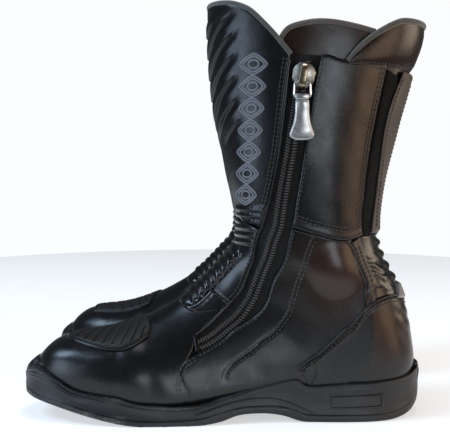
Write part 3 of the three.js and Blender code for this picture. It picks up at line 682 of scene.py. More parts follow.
VAMP_REAR = [(-36.3, 36), (-32.5, 46.8), (-22, 51.8)]
FLAP_FRONT = [(115, 170), (116.8, 190), (118.5, 217), (123, 240)]


def front(z):
    """The place on the shin, instep or toe line at a height."""
    return np.interp(-z, -FINE_ROWS[:, 1], FINE), 0.0


def back(z):
    """The place on the line down the back at a height."""
    return np.interp(-z, -FINE_ROWS[:, 3], FINE), 0.5


def rear(points):
    """Places on the medial side, counted round the back."""
    return [place(x, z, -2) for x, z in points]


def smooth(value, low, high):
    t = np.clip((value - low) / (high - low), 0, 1)
    return t * t * (3 - 2 * t)


def relief(points):
    """Soft dents that the whole upper shares, so that neighbouring panels stay in step."""
    return 0.9 * value_noise(points, 55, 3) + 0.2 * value_noise(points, 21, 5)


# ---------------------------------------------------------------- the upper

def prepare(panel, lift=0.0, dents=1.0):
    panel.height += lift + dents * relief(panel.points)
    return panel


def from_edges(panel):
    across = np.minimum(panel.from_left, panel.from_right)
    return np.minimum(across, np.minimum(panel.from_bottom, panel.from_top))


def marks_of(panel, warm_reflection=0.0, edge_mark_reach=1.7):
    """Edges lightened, partly as rubbing and partly as a painted highlight, and where a warm reflection is
    painted brown.
    """
    edge = from_edges(panel)
    return {"wear": np.clip(1 - edge / edge_mark_reach, 0, 1), "warm_reflection": np.broadcast_to(warm_reflection, edge.shape)}


def leather_panel(name, panel, look, warm_reflection=0.0, **facts):
    return panel_piece(name, panel, look, marks=marks_of(panel, warm_reflection), **facts)


def vamp():
    panel = Panel(
        [(18.9, -0.462), (18.9, 0.462), (25.97, -0.49), (25.97, 0.49)],
        bottom=[*medial([(-31, 36), (-27.5, 46.8), (-22, 56), (-21, 66), (-10, 76), (1, 85), (3, 93),
                         (-12, 94), (-27, 91)]),
                front(95), *lateral([(-27, 87), (-8, 88), (-12, 66), (-27, 46.8), (-31, 36)])],
        pitch=1.7)
    prepare(panel)
    panel.edges(bottom=1.7, reach=4)
    toe_crease = np.exp(-((panel.x + 82) / 6) ** 2)
    crease = np.exp(-((panel.x + 62 + 9 * np.cos(panel.turn * 12)) / 7) ** 2) + 0.8 * toe_crease
    panel.height -= 0.7 * crease * np.clip(np.abs(panel.turn) * 6, 0.2, 1)
    leather_panel("vamp", panel, FOOT_LEATHER, slot="foot_leather", stands_for=["vamp"])


PAD_LOW = [(-119.8, 59.6), (-100, 56.7), (-80.4, 55.5), (-71, 57.6)]


def shift_pad():
    """The gear lever's rubbed pad: curved ribs inside a raised leather rim."""
    lateral_side = 0.075
    corners = [place(-122.5, 62, -1), place(-58.5, 65.0, -1), (front(60.6)[0], lateral_side),
               (front(71.5)[0], lateral_side)]
    panel = Panel(
        corners,
        bottom=medial(PAD_LOW),
        top=[(front(63)[0], lateral_side + 0.008), (front(67)[0], lateral_side + 0.01)],
        left=[(front(60.6)[0], 0.0)],
        right=[place(-55.8, 68, -1), place(-56.5, 73, -1), (front(76)[0], -0.01)],
        pitch=0.7)
    panel.height += 1.7 + 0.4 * relief(panel.points)
    panel.edges(left=1.7, right=1.7, bottom=1.7, top=1.7, reach=1.6)
    inside = from_edges(panel)
    phase = (panel.x + 116 - 0.27 * panel.from_bottom) / 7.4
    groove_shape = np.exp(-((phase - np.round(phase)) * 7.4 / 0.6) ** 2)
    panel.height -= 1.3 * groove_shape * smooth(inside, 3.2, 5.2)
    panel.height -= 0.7 * np.exp(-((inside - 2.8) / 0.7) ** 2)
    panel_piece("shift_pad", panel, PAD_RUBBER, thickness=0.4, marks=marks_of(panel), body="foot",
                slot="shift_pad_rubber", stands_for=["shift_pad"])
    rim = [corners[0], *medial(PAD_LOW), corners[1]]
    at = resample(rim, 90)
    line, normals = skin_frame(at)
    build("shift_pad_rim", *sweep_mesh(line + normals * 0.4, normals, oval(1.5, 1.5, 10)), FOOT_LEATHER,
          body="foot", slot="foot_leather")


RIB_SEAM = [(-27, 88), (-24.2, 87.1), (-18.6, 90.2), (-13, 95.5), (-7.6, 99.9), (-2.2, 106.5), (3.9, 113.4),
            (8.5, 118.7), (12, 124), (13, 131)]
ROLL_LINE = [(-34, 88), (-32.5, 84.8), (-25.7, 83.6), (-19.3, 86.2), (-13, 91.6), (-8.6, 96.4)]
RIB_LEAN = (0.955, 0.297)       # across the ribs, on the side view
RIB_PITCH = 5.8


def instep():
    """Padded leather over the ankle's bend, with ribs across the front."""
    panel = Panel(
        [place(-1.2, 86, -1), place(63, 89, 1), place(28, 147.5, -1), place(68, 142.2, 1)],
        bottom=[*medial(INSTEP_BOTTOM), front(INSTEP_FRONT), *lateral(reversed(INSTEP_BOTTOM)),
                place(18, 87.5, 1), place(42, 88.2, 1)],
        top=[place(20, 151.5, -1), front(155.5), *lateral([(20, 151.5), (33, 147.8), (50.6, 148)])],
        left=medial([(16.6, 108), (22.3, 123), (23.9, 138)]),
        right=lateral([(64.5, 105), (66.5, 125)]),
        pitch=0.8)
    prepare(panel, 0.7, 0.6)
    mirrored = panel.points * [1, 0, 1] - np.abs(panel.points) * [0, 1, 0]
    from_seam = distance_to_line(mirrored, seam_line(medial(RIB_SEAM), 1.2))
    seam_at = np.array([place(x, z, 1) for x, z in RIB_SEAM])
    seam_turn = np.interp(panel.s, seam_at[::-1, 0], seam_at[::-1, 1])
    past = np.clip(1 - from_seam / 3.2, 0, 1)
    inside = (np.abs(panel.turn) < seam_turn) * np.sqrt(1 - past**2)
    phase = (panel.x * RIB_LEAN[0] + panel.z * RIB_LEAN[1] - 2.8) / RIB_PITCH
    ends = smooth(phase, 0, 0.25) * (1 - smooth(phase, 7.75, 8))
    lobes = (1 - (2 * (phase - np.floor(phase)) - 1) ** 2) ** 0.75
    tall = 1.5 + 0.9 * smooth(np.abs(panel.turn), 0.0, 0.08)
    panel.height += (tall * lobes * ends - 0.2) * inside
    panel.height -= 0.8 * np.exp(-(from_seam / 0.9) ** 2)
    from_roll = distance_to_line(mirrored, seam_line(medial(ROLL_LINE), 1.2))
    panel.height += 1.9 * np.sqrt(np.clip(1 - (from_roll / 2.6) ** 2, 0, 1))
    cross_seam = medial([(-7, 99), (-3, 95.5), (1.6, 92.1), (4.6, 89.4)])
    second_seam = medial([(2, 111), (9.5, 118.5), (15, 127)])
    for keys in (cross_seam, second_seam):
        panel.height -= 0.6 * np.exp(-(distance_to_line(panel.points, seam_line(keys)) / 0.8) ** 2)
    band = np.exp(-(((panel.x - 7) / 9) ** 2 + ((panel.z - 107) / 12) ** 2)) * (panel.turn < 0)
    panel.height += 0.9 * band
    fold = np.sin((panel.z - 134) / 5.5 * math.pi) ** 2 * (panel.z > 134)
    panel.height += 0.9 * fold * (1 - smooth(np.abs(panel.turn), 0.16, 0.2))
    panel.edges(left=1.0, right=1.0, bottom=1.6, top=1.3, reach=2.2)
    for piece in leather_panel("instep", panel, PADDED_LEATHER, slot="padded_leather",
                               stands_for=["instep_panel"]):
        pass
    stitch_rows(ANKLE_STITCHES, cross_seam, (1.3, -1.3), 0.8)
    stitches(ANKLE_STITCHES, second_seam, 1.3, 0.9)
    stitches(ANKLE_STITCHES, medial([(1, 88), (16.6, 108), (22.3, 123), (23.9, 138), (27, 146)]), -2.4, 0.8)


def ankle_and_quarter():
    panel = Panel(
        [(place(-38.4, 13, -1)[0], -0.455), place(63, 25, -1), place(51.2, 151, -1), place(97, 141, -1)],
        bottom=[(16.6, -0.455)],
        left=medial([*VAMP_REAR, ZIP_FOOT_REAR, *ZIP_REAR[:4]]),
        right=medial([(64, 38.5), (73, 51.9), (91, 70), (108, 86), *QUARTER_REAR[1:]]),
        top=medial([(x, z + 2.6) for x, z in ANKLE_TOP[:2]]),
        pitch=1.35)
    prepare(panel, 0.5)
    offset = (panel.points[..., [0, 2]] - np.array([86, 117])) / np.array([21, 22])
    panel.height += 3.6 * np.clip(1 - 0.85 * np.sum(offset**2, -1), 0, 1) ** 1.6
    panel.height += groove(panel.points, medial([(67.9, 142), *QUARTER_SEAM, (1.3, 33.5)]), 1.1, 0.9)
    lines = np.sin(((panel.z - 118) * 0.9 + (panel.x - 60) * 0.5) / 4.2) * np.exp(-((panel.x - 59) / 8) ** 2)
    panel.height += 0.45 * lines * np.exp(-((panel.z - 122) / 14) ** 2)
    panel.edges(left=1.6, right=1.0, top=2.2, reach=3.4)
    # A painted warm reflection, brown, centred on the ankle dome.
    warm_reflection = np.clip(np.exp(-np.sum((offset * 0.75) ** 2, -1)) * 1.2, 0, 1)
    for piece in leather_panel("ankle_and_quarter", panel, FOOT_LEATHER, warm_reflection, slot="foot_leather",
                               stands_for=["medial_ankle_panel", "medial_quarter"]):
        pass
    seam = medial([(67.9, 140.7), *QUARTER_SEAM, (1.3, 33.5)])
    stitch_rows(ANKLE_STITCHES, seam, (-1.7, 1.7), 0.85)
    stitches(ANKLE_STITCHES, medial([ZIP_FOOT_REAR, *ZIP_REAR[:4], (50.9, 147)]), 2.6, 0.85)
    stitch_rows(ANKLE_STITCHES, medial([(-37.8, 22), *VAMP_REAR]), (2.0, 4.4), 0.75)


def lateral_quarter():
    panel = Panel(
        [(place(-38.4, 13, 1)[0], 0.455), place(63, 25, 1), place(-8.4, 83, 1), place(108, 88.3, 1)],
        bottom=[(16.6, 0.455)],
        left=lateral([*VAMP_REAR, (-17, 68)]),
        right=lateral([(64, 38.5), (73, 51.9), (91, 70)]),
        top=lateral([(18, 88.6), (60, 89.6)]))
    prepare(panel, 0.5)
    seam = [(47, 74), (28, 58), (3.1, 43), (1.3, 33)]
    panel.height += groove(panel.points, lateral([(60, 89), *seam]), 1.1, 0.8)
    panel.edges(left=1.4, right=1.0, top=1.2, reach=2.2)
    leather_panel("lateral_quarter", panel, FOOT_LEATHER, slot="foot_leather",
                  stands_for=["lateral_quarter"])
    stitch_rows(ANKLE_STITCHES, lateral([(60, 88), *seam]), (-1.7, 1.7), 0.8)
    stitches(ANKLE_STITCHES, lateral([(-6, 83), (18, 88.4), (60, 89.3), (104, 88)]), -2.3, 0.8)
    stitch_rows(ANKLE_STITCHES, lateral([(-37.8, 22), *VAMP_REAR]), (-2.0, -4.4), 0.75)


def heel_counter():
    panel = Panel(
        [(17.4, 0.455), (17.4, 0.545), place(57.6, 38.5, 1), place(57.6, 38.5, -2)],
        bottom=[(15.6, 0.456), (14.2, 0.47), (13.3, 0.5), (14.2, 0.53), (15.6, 0.544)],
        top=[*lateral(COUNTER_TOP), back(87), *rear(reversed(COUNTER_TOP))],
        pitch=1.5)
    prepare(panel, 1.5)
    creases = np.exp(-((panel.z - 76) / 7) ** 2) * np.exp(-((panel.x - 139) / 11) ** 2)
    panel.height += 0.8 * creases * np.sin((panel.z + 0.5 * panel.x) / 1.5)
    panel.edges(top=1.7, left=1.5, right=1.5, reach=2.0)
    # A painted warm reflection, brown, on the counter's upper part.
    warm_reflection = np.exp(-((panel.z - 72) / 24) ** 2) * np.exp(-((panel.x - 118) / 32) ** 2)
    leather_panel("heel_counter", panel, FOOT_LEATHER, warm_reflection, slot="foot_leather",
                  stands_for=["heel_counter_cover"])
    for side in (medial, lateral):
        for drop in (2.3, 4.6):
            line = side([(57.6, 38.5), *COUNTER_TOP, (147, 89)])
            stitches(ANKLE_STITCHES, line, drop if side is medial else -drop, 1.7)


def achilles():
    """The accordion behind the ankle, which lets the boot flex."""
    panel = Panel(
        [place(62, 88.6, 1), place(109, 86.5, -2), place(67.8, 142.6, 1), place(94.6, 138, -2)],
        bottom=[*lateral([(104, 86), (118, 90.5), (130, 92.5)]), back(82), *rear([(130, 92.5), (118, 90.5)])],
        top=[*lateral([(84, 140), (104.7, 144)]), back(144.5), *rear([(104.7, 144)])],
        left=lateral([(63.6, 105), (65.8, 125)]),
        right=rear(QUARTER_REAR[1:]),
        pitch=0.95)
    prepare(panel, 0.1, 0.6)
    from_back = np.abs(panel.turn - 0.5)
    rounds = 1 - np.abs(np.cos(math.pi * (panel.z - 95) / 9.0)) ** 2.4
    panel.height += 2.4 * rounds * (1 - smooth(from_back, 0.035, 0.085)) * smooth(panel.z, 100, 106)
    wander = panel.z + 0.35 * panel.x - 3 * value_noise(panel.points, 14, 6)
    wrinkles = 0.5 - 0.5 * np.cos(2 * math.pi * wander / 6.8)
    band = smooth(from_back, 0.07, 0.10) * (1 - smooth(from_back, 0.14, 0.17))
    panel.height += 0.8 * wrinkles * band * smooth(panel.z, 98, 106) * (1 - smooth(panel.z, 122, 132))
    strap = 1.3 * (1 - smooth(np.abs(panel.from_right - 5.0), 2.6, 5.0))
    panel.height += strap
    panel.edges(left=1.0, right=1.6, bottom=1.6, top=1.6, reach=2.4)
    for piece in leather_panel("achilles", panel, PADDED_LEATHER, slot="padded_leather",
                               stands_for=["achilles_panel"]):
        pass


def reflector():
    panel = Panel(
        [place(133.5, 93.5, 1), place(133.5, 93.5, -2), place(134.5, 103.5, 1), place(134.5, 103.5, -2)],
        bottom=[back(90.5)], top=[back(101.5)], pitch=1.0)
    panel.height += 3.6
    panel.edges(left=1, right=1, bottom=1, top=1, reach=1.2)
    panel_piece("heel_reflector", panel, REFLECTOR, thickness=1.2, marks=marks_of(panel), slot="foot_leather")


def shin():
    panel = Panel(
        [place(28.3, 149, -1), place(33.2, 149.5, 1), place(*ZIP_HEAD_FRONT, -1), place(*ZIP_HEAD_FRONT, 1)],
        bottom=[place(20, 152.6, -1), front(156.5), place(20, 152.6, 1)],
        top=[*medial(SHIN_TOP), front(SHIN_TOP_FRONT), *lateral(reversed(SHIN_TOP))],
        left=medial([(37.9, 183), (43.8, 219.5)]),
        right=lateral(LATERAL_EDGE[1:]),
        pitch=1.05)
    prepare(panel, 0.7)
    near_front = np.abs(panel.turn)
    stripe = (panel.z - 250 - 300 * near_front) / 16.5
    saw = stripe - np.floor(stripe)
    centred = np.abs(saw - 0.5)
    notch = 1 - smooth(centred, 0.14, 0.27)
    zone = smooth(panel.z, 208, 236) * (1 - smooth(panel.z, 303, 311))
    zone *= 1 - smooth(near_front, 0.085, 0.125)
    panel.height += (1.3 - 2.6 * notch) * zone
    rolls = np.abs(np.sin(math.pi * (panel.z - 150.5) / 4.8)) ** 0.8
    low = (1 - smooth(panel.z, 163.5, 166)) * smooth(near_front, 0.03, 0.08)
    panel.height += 1.6 * rolls * low
    panel.edges(left=1.4, right=1.2, bottom=1.4, top=0.9, reach=2.2)
    leather_panel("shin", panel, SHAFT_LEATHER, slot="shaft_leather", stands_for=["shin_panel"])
    zip_side = medial([(29.5, 152), (38, 183), (43.8, 219.5), (49, 274)])
    stitch_rows(SHAFT_STITCHES, zip_side, (-2.4, -4.8), 0.9)
    stitch_rows(SHAFT_STITCHES, lateral([(33.5, 152), *LATERAL_EDGE[1:], (49, 274)]), (2.2, 4.6), 0.9)
    decoration()


def decoration():
    """A column of plain lozenges and rings, embroidered up the shin in silver-grey thread."""
    pile = Pile()
    low, high = np.array([18.2, 166]), np.array([23.4, 278])
    count = 7
    axis = (high - low) / np.linalg.norm(high - low)
    side = np.array([axis[1], -axis[0]])
    turns = np.linspace(0, 2 * math.pi, 29)
    for i in range(count):
        share = (i + 0.5) / count
        middle = low + (high - low) * share
        half_wide = 7.2 + 2.8 * share
        shapes = [(half_wide, 7.7, 1.25), (half_wide - 2.0, 5.7, 1.25), (half_wide * 0.38, 3.0, 2.0)]
        for wide, tall, power in shapes:
            a = np.sign(np.cos(turns)) * np.abs(np.cos(turns)) ** (2 / power)
            b = np.sign(np.sin(turns)) * np.abs(np.sin(turns)) ** (2 / power)
            keys = [tuple(middle + side * wide * m + axis * tall * n) for m, n in zip(a, b)]
            line, normals = skin_frame(resample(medial(keys), 48))
            lifted = line + normals * (0.95 + relief(line)[:, None])
            pile.add(*sweep_mesh(lifted[:-1], normals[:-1], oval(0.55, 0.8, 6), closed=True))
    pile.build("shin_embroidery", SILVER_THREAD, body="shaft", slot="shaft_leather")


def zip_tape():
    panel = Panel(
        [place(*ZIP_FOOT_FRONT, -1), place(-18, 51, -1), place(47.5, 277, -1), place(72.5, 275, -1)],
        left=medial([(-2, 89.5), (15, 109), (20.5, 123), (22, 138), (27.5, 153), (36, 183), (42, 219.5)]),
        right=medial([(0, 60.5), (13, 73), (36, 100.5), (46, 118), (53, 148.5), (55, 165), (62.6, 206)]),
        pitch=1.2)
    prepare(panel, -2.6, 0.6)
    distance = distance_to_line(panel.points, seam_line(medial(ZIP_CENTRE)))
    panel.height += 0.9 * (1 - smooth(distance, 4.6, 5.6)) + 0.3 * np.sin(distance * 2.4) * (distance > 4.4)
    panel_piece("zip_tape", panel, TAPE, thickness=1.1, marks=marks_of(panel), slot="zip_fabric",
                stands_for=["zip_chain"])
    teeth = Pile()
    keys = medial(ZIP_CENTRE)
    count = int(line_length(keys) / 2.1)
    line, normals = skin_frame(resample(keys, count))
    tangents, across = sideways(line, normals)
    for i in range(count):
        for hand in (-1, 1):
            half_step = 1.05 * tangents[i] if hand > 0 else 0 * tangents[i]
            middle = line[i] + half_step + hand * across[i] * 2.7 - normals[i] * (0.9 - 0.6 * relief(line[i]))
            teeth.add(*bead(middle, across[i] + 0.16 * hand * tangents[i], normals[i], 3.9, 1.25, 2.4))
    teeth.build("zip_coil", COIL, slot="zip_fabric")
    stop = Pile()
    ends = resample(medial([(-21.5, 65.5), (-19.2, 54.8)]), 8)
    line, normals = skin_frame(ends)
    stop.add(*sweep_mesh(line - normals * 0.4, normals, oval(1.1, 1.8, 10)))
    stop.build("zip_end_bar", FOOT_LEATHER, slot="foot_leather")
    piping = resample(medial([(-21, 66.5), *ZIP_FRONT, (48.8, 272)]), 150)
    line, normals = skin_frame(piping)
    build("zip_piping", *sweep_mesh(line + normals * 0.1, normals, oval(0.85, 0.85, 8)), PADDED_LEATHER,
          slot="shaft_leather")


def calf():
    panel = Panel(
        [place(50.9, 149.2, -1), place(105.2, 143, -1), place(*ZIP_HEAD_REAR, -1), place(121, 270.6, -1)],
        bottom=medial(ANKLE_TOP), top=medial([(73.5, 277.3), (88.5, 271)]),
        left=medial([(53.2, 165), (60.7, 206)]), right=medial(CALF_REAR),
        pitch=1.5)
    prepare(panel, 0.8, 1.4)
    panel.height += 0.5 * np.clip(1 - ((panel.from_bottom - 3.0) / 3.0) ** 2, 0, 1) ** 0.6
    panel.edges(left=1.5, right=1.3, bottom=1.3, top=1.0, reach=1.6)
    # A painted warm reflection, brown, over the calf panel's rear half.
    warm_reflection = smooth(panel.x, 78, 112) * 0.75
    leather_panel("calf_panel", panel, SHAFT_LEATHER, warm_reflection, slot="shaft_leather", stands_for=["calf_panel"])
    stitches(SHAFT_STITCHES, medial([(51.4, 153), (53.2, 165), (60.7, 206), (70, 271)]), 2.6, 0.9)
    stitch_rows(SHAFT_STITCHES, medial([(105, 148), *CALF_REAR, (120.6, 268)]), (-2.2, -5.0), 0.9)
    stitch_rows(SHAFT_STITCHES, medial([(51.5, 149), *ANKLE_TOP, (103, 142)]), (-8.0, -10.6), 0.9)
    stitches(SHAFT_STITCHES, medial([(71.5, 273), (74.5, 276), (88, 270.6), (119, 268.8)]), 2.2, 0.9)


def lateral_shaft():
    panel = Panel(
        [place(29.5, 147, 1), place(106, 142.4, 1), place(40.4, 290, 1), place(115, 293.4, 1)],
        bottom=lateral([(50.6, 147), *ANKLE_TOP[:2], (95, 138.8)]),
        top=lateral([(43, 294), (53, 297.4), (71, 300.2), (93, 297)]),
        left=lateral([(32, 165), (40, 219.5), (43.5, 262)]), right=lateral(CALF_REAR), pitch=2.0)
    prepare(panel, 0.1, 1.4)
    panel.edges(left=1.0, right=1.0, bottom=1.0, reach=2.4)
    leather_panel("lateral_shaft", panel, SHAFT_LEATHER, slot="shaft_leather",
                  stands_for=["lateral_shaft_panel"])
    stitch_rows(SHAFT_STITCHES, lateral([(105, 148), *CALF_REAR, (117, 250)]), (4.0, 6.6), 0.3)
    stitches(SHAFT_STITCHES, lateral([(36, 148.5), (50.6, 147), *ANKLE_TOP[:2], (95, 138.8)]), 3.0, 0.3)


def back_panel():
    panel = Panel(
        [place(103.6, 142.4, 1), place(103.6, 142.4, -2), place(118, 272, 1), place(118, 272, -2)],
        bottom=[back(143.2)], top=[back(272)],
        left=lateral([(x - 2, z) for x, z in CALF_REAR]), right=rear([(x - 2, z) for x, z in CALF_REAR]),
        pitch=1.7)
    prepare(panel, 0.4)
    from_back = np.abs(panel.turn - 0.5)
    bulge = np.abs(np.sin(math.pi * (panel.z - 95) / 9.0)) ** 0.7
    panel.height += 2.2 * bulge * (1 - smooth(from_back, 0.05, 0.085)) * (1 - smooth(panel.z, 149, 151))
    panel.height -= 0.5 * smooth(panel.turn, 0.5, 0.52)
    panel.edges(left=1.4, right=1.4, bottom=1.4, reach=2.4)
    leather_panel("back_panel", panel, SHAFT_LEATHER, slot="shaft_leather", stands_for=["back_panel"])
    stitches(SHAFT_STITCHES, lateral([(104, 148), *CALF_REAR, (119, 268)]), -2.4, 0.6)


def collar():
    panel = Panel(
        [place(91, 268.2, 1), place(91, 268.2, -2), place(91.5, 272.6, 1), place(91.5, 272.6, -2)],
        bottom=[*lateral([(120, 268)]), back(268), *rear([(120, 268)])],
        top=[*lateral(COLLAR_TOP), back(COLLAR_TIP), *rear(reversed(COLLAR_TOP))],
        pitch=1.5)
    prepare(panel, 1.4, 0.8)
    tall = np.maximum(panel.from_bottom + panel.from_top, 1)
    panel.height += 1.0 * np.sin(np.clip(panel.from_bottom / tall, 0, 1) * math.pi)
    panel.edges(bottom=1.3, left=1.3, right=1.3, top=0.8, reach=2.2)
    # The 0.5 paints an even warm reflection, brown, over the collar.
    for piece in leather_panel("rear_collar", panel, SHAFT_LEATHER, 0.5, slot="shaft_leather",
                               stands_for=["rear_collar"]):
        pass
    for side, hand in ((medial, 1), (lateral, -1)):
        stitches(SHAFT_STITCHES, side([(95, 270.6), (120, 270.4), (143, 270.4)]), -hand * 0.2, 1.5)
    edge = [place(91, 271, 1), *lateral(COLLAR_TOP), back(COLLAR_TIP), *rear(reversed(COLLAR_TOP)),
            place(91, 271, -2)]
    tube("collar_binding", edge, FELT, 2.1, 2.3, 0.2)


def tube(name, keys, look, out_radius, along_radius, lift, pitch=1.6, **facts):
    count = int(line_length(keys) / pitch)
    line, normals = skin_frame(resample(keys, count))
    wobble = 0.18 * value_noise(line, 11, 9)[:, None]
    body = dict(body="shaft", slot="shaft_leather")
    body.update(facts)
    profile = oval(out_radius, along_radius, 12)
    return build(name, *sweep_mesh(line + normals * (lift + wobble), normals, profile), look, **body)


def welt(name, keys, radius, lift, look=None, **facts):
    """A folded leather edge along a seam."""
    count = int(line_length(keys) / 1.4)
    line, normals = skin_frame(resample(keys, count))
    lifted = line + normals * (lift + relief(line)[:, None])
    profile = oval(radius, radius * 1.15, 10)
    return build(name, *sweep_mesh(lifted, normals, profile), look or FOOT_LEATHER, **facts)


def welts():
    counter = [place(57.6, 39, 1), *lateral(COUNTER_TOP), back(87.2), *rear(reversed(COUNTER_TOP)),
               place(57.6, 39, -2)]
    welt("counter_welt", counter, 1.0, 1.5, slot="foot_leather")
    seam = medial([(51, 148.6), *ANKLE_TOP[:2], (94, 138.6), (98, 132), *reversed(QUARTER_REAR[1:]),
                   (106.5, 90)])
    welt("ankle_welt", seam, 0.9, 1.0, slot="foot_leather")
    rear_seam = medial([(97, 133), *reversed(QUARTER_REAR[1:]), (107, 92)])
    stitch_rows(ANKLE_STITCHES, rear_seam, (-3.4, -6.2), 1.4)


def bindings():
    shin_edge = [place(49.2, 276.5, -1), *medial(SHIN_TOP), front(SHIN_TOP_FRONT),
                 *lateral(reversed(SHIN_TOP)), place(49.2, 276.5, 1)]
    tube("shin_binding", shin_edge, FELT, 1.7, 1.9, -0.2)
    arch = [place(40.8, 287, -1), *medial(ARCH_TOP), place(112, 293, -1)]
    tube("arch_binding", arch, ARCH_FELT, 1.8, 2.0, -3.0)
    lateral_arch = [place(41, 289, 1), *lateral(ARCH_TOP), place(113, 293, 1)]
    tube("lateral_arch_binding", lateral_arch, ARCH_FELT, 1.8, 2.0, -0.6)


def gusset():
    panel = Panel(
        [place(44, 152, -1), place(101, 152, -1), place(40.4, 289, -1), place(114, 292.6, -1)],
        left=medial([(41, 200), (41, 262)]), right=medial([(106, 210), (118, 262)]), top=medial(ARCH_TOP),
        pitch=2.2)
    prepare(panel, -3.6, 1.5)
    # The 0.6 paints an even warm reflection, brown, over the gusset.
    panel_piece("zip_gusset", panel, SHAFT_LEATHER, thickness=1.2, marks=marks_of(panel, 0.6),
                slot="shaft_leather", stands_for=["zip_gusset"])


def loop_strip():
    panel = Panel(
        [place(106, 143.5, -1), place(113.5, 142, -1), place(121, 267, -1), place(131, 262, -1)],
        left=medial([(103.8, 158), (106.4, 177.5), (109, 201), (113.6, 229.6)]),
        right=medial([(x + 5, z) for x, z in FLAP_FRONT]), bottom=medial([(109, 141.2)]), pitch=0.9)
    panel.height += 1.3 + 0.55 * value_noise(panel.points, 1.9, 12) + 0.3 * value_noise(panel.points, 4.7, 13)
    panel.edges(left=1, right=1, bottom=1, top=1, reach=1.5)
    panel_piece("loop_strip", panel, LOOP_CLOTH, thickness=0.9, marks=marks_of(panel), body="shaft",
                slot="hook_and_loop", stands_for=["loop_strip"])


def flap():
    panel = Panel(
        [place(111.5, 144.5, -2), (back(144.6)[0], 0.506), place(133.8, 266.4, -2), (back(266.2)[0], 0.506)],
        left=rear(FLAP_FRONT), right=[(back(205)[0], 0.506)], pitch=1.5)
    panel.height += 3.9 + 0.5 * relief(panel.points)
    panel.edges(left=1.0, right=1.2, bottom=1.0, top=1.0, reach=1.5)
    panel.height -= 0.5 * np.exp(-((panel.from_left - 3.4) / 0.7) ** 2)
    panel_piece("calf_flap", panel, FLAP_LEATHER, thickness=0, floor=2.2, marks=marks_of(panel),
                body="calf_flap", slot="shaft_leather", stands_for=["calf_flap"])
    rows = Pile()
    stitches(rows, rear([(113, 149), *FLAP_FRONT, (131.5, 262)]), 2.2, 3.9)
    stitches(rows, [(back(150)[0], 0.52), (back(205)[0], 0.522), (back(260)[0], 0.52)], 0, 3.9)
    rows.build("flap_stitches", THREAD, body="calf_flap", slot="shaft_leather")


def lining():
    """A foam-backed sock, open at the top and closed at the toe."""
    rings, around = 150, 72
    s = np.linspace(0.9, 25.2, rings)[:, None]
    turn = np.linspace(0, 1, around, endpoint=False)[None, :]
    s, turn = np.broadcast_arrays(s, turn)
    points = skin(s, turn)
    normals = grid_normals(points)
    core = core_of(spline(STATIONS, s))
    normals *= np.sign(np.sum(normals * (points - core), -1, keepdims=True))
    toe = smooth(s, 23.4, 25.2)[..., None]
    outer = points - normals * 6.2 + (core - points) * toe * 0.55
    inner = points - normals * 8.7 + (core - points) * toe * 0.5
    dip = lining_dip(turn) * np.clip(1 - (s - 0.9) / 3, 0, 1)
    outer[..., 2] -= dip
    inner[..., 2] -= dip
    flat = np.concatenate([outer.reshape(-1, 3), inner.reshape(-1, 3)])
    count = rings * around
    faces = []
    for i in range(rings - 1):
        for j in range(around):
            k = (j + 1) % around
            a, b, c, d = i * around + j, i * around + k, (i + 1) * around + k, (i + 1) * around + j
            faces += [(a, d, c, b), (a + count, b + count, c + count, d + count)]
    for j in range(around):
        k = (j + 1) % around
        faces.append((j, k, k + count, j + count))
        end = (rings - 1) * around
        faces.append((end + k, end + j, end + j + count, end + k + count))
    for piece in build("lining", flat, faces, LINING_CLOTH, slot="lining_fabric", stands_for=["lining"]):
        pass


def lining_dip(turn):
    """How far the lining's mouth lies below the skin's first sections, all the way round."""
    keys = np.array([0, 0.08, 0.16, 0.25, 0.36, 0.44, 0.5])
    drops = np.array([4, 6, 28, 8, 8, 4, 2])
    return np.interp(np.minimum(turn, 1 - turn), keys, drops)


# ---------------------------------------------------------------- the sole

# x, half width, shift in y, ground z, tread top z, top z, top z in the middle
SOLE = np.array([
    [-157.4, 4, -6, 21, 25, 31, 33],
    [-155.5, 11, -6, 18, 23.5, 35, 38],
    [-151, 18, -6, 16.6, 22, 38, 42.5],
    [-146, 23.5, -5.8, 15.5, 20.5, 39.5, 45],
    [-139, 29, -5.5, 14.4, 19, 37.6, 41],
    [-129, 35, -5, 12.6, 17.4, 33.3, 33.3],
    [-115, 41, -4, 9.4, 14.6, 26, 26],
    [-98, 46.5, -3, 5.6, 10.6, 22.6, 22.6],
    [-80, 50.5, -1.6, 2, 7, 20.5, 20.5],
    [-62, 52, -1, 0, 5, 16, 16],
    [-38, 52, 0, 0, 4.6, 13.9, 13.9],
    [-18, 50, 0, 0, 5.6, 14.8, 14.8],
    [-2, 47, 0, 2, 9, 19.6, 19.6],
    [13, 44, 0, 6.4, 12.6, 23.8, 23.8],
    [31, 41.5, 0, 7, 13.4, 28.6, 28.6],
    [46, 40.5, 0, 5, 12.4, 31.8, 31.8],
    [57, 40.5, 0, 1.4, 9, 33, 33],
    [66, 40.5, 0, 0, 6.4, 28.2, 28.2],
    [92, 41, 0, 0, 6, 29.3, 29.3],
    [114, 39.6, 0, 0, 6, 30.5, 30.5],
    [132, 34.5, 0, 0.8, 7, 32, 32],
    [145, 26, 0, 4, 10.5, 33.5, 33.5],
    [153, 16, 0, 10, 17.5, 36.4, 36.4],
    [156.6, 6, 0, 16, 22, 36.8, 36.8],
])
TREAD_GROOVES = (-80, -62, -44, -26, 82, 98)
GROOVE_WIDTH = 3.2
GROOVE_DEPTH = 2.6
SOLE_FINE = spline(SOLE, np.linspace(0, len(SOLE) - 1, 700))


def sole_row(x):
    """The sole's outline at places along the foot."""
    return np.stack([np.interp(x, SOLE_FINE[:, 0], SOLE_FINE[:, k]) for k in range(7)], -1)


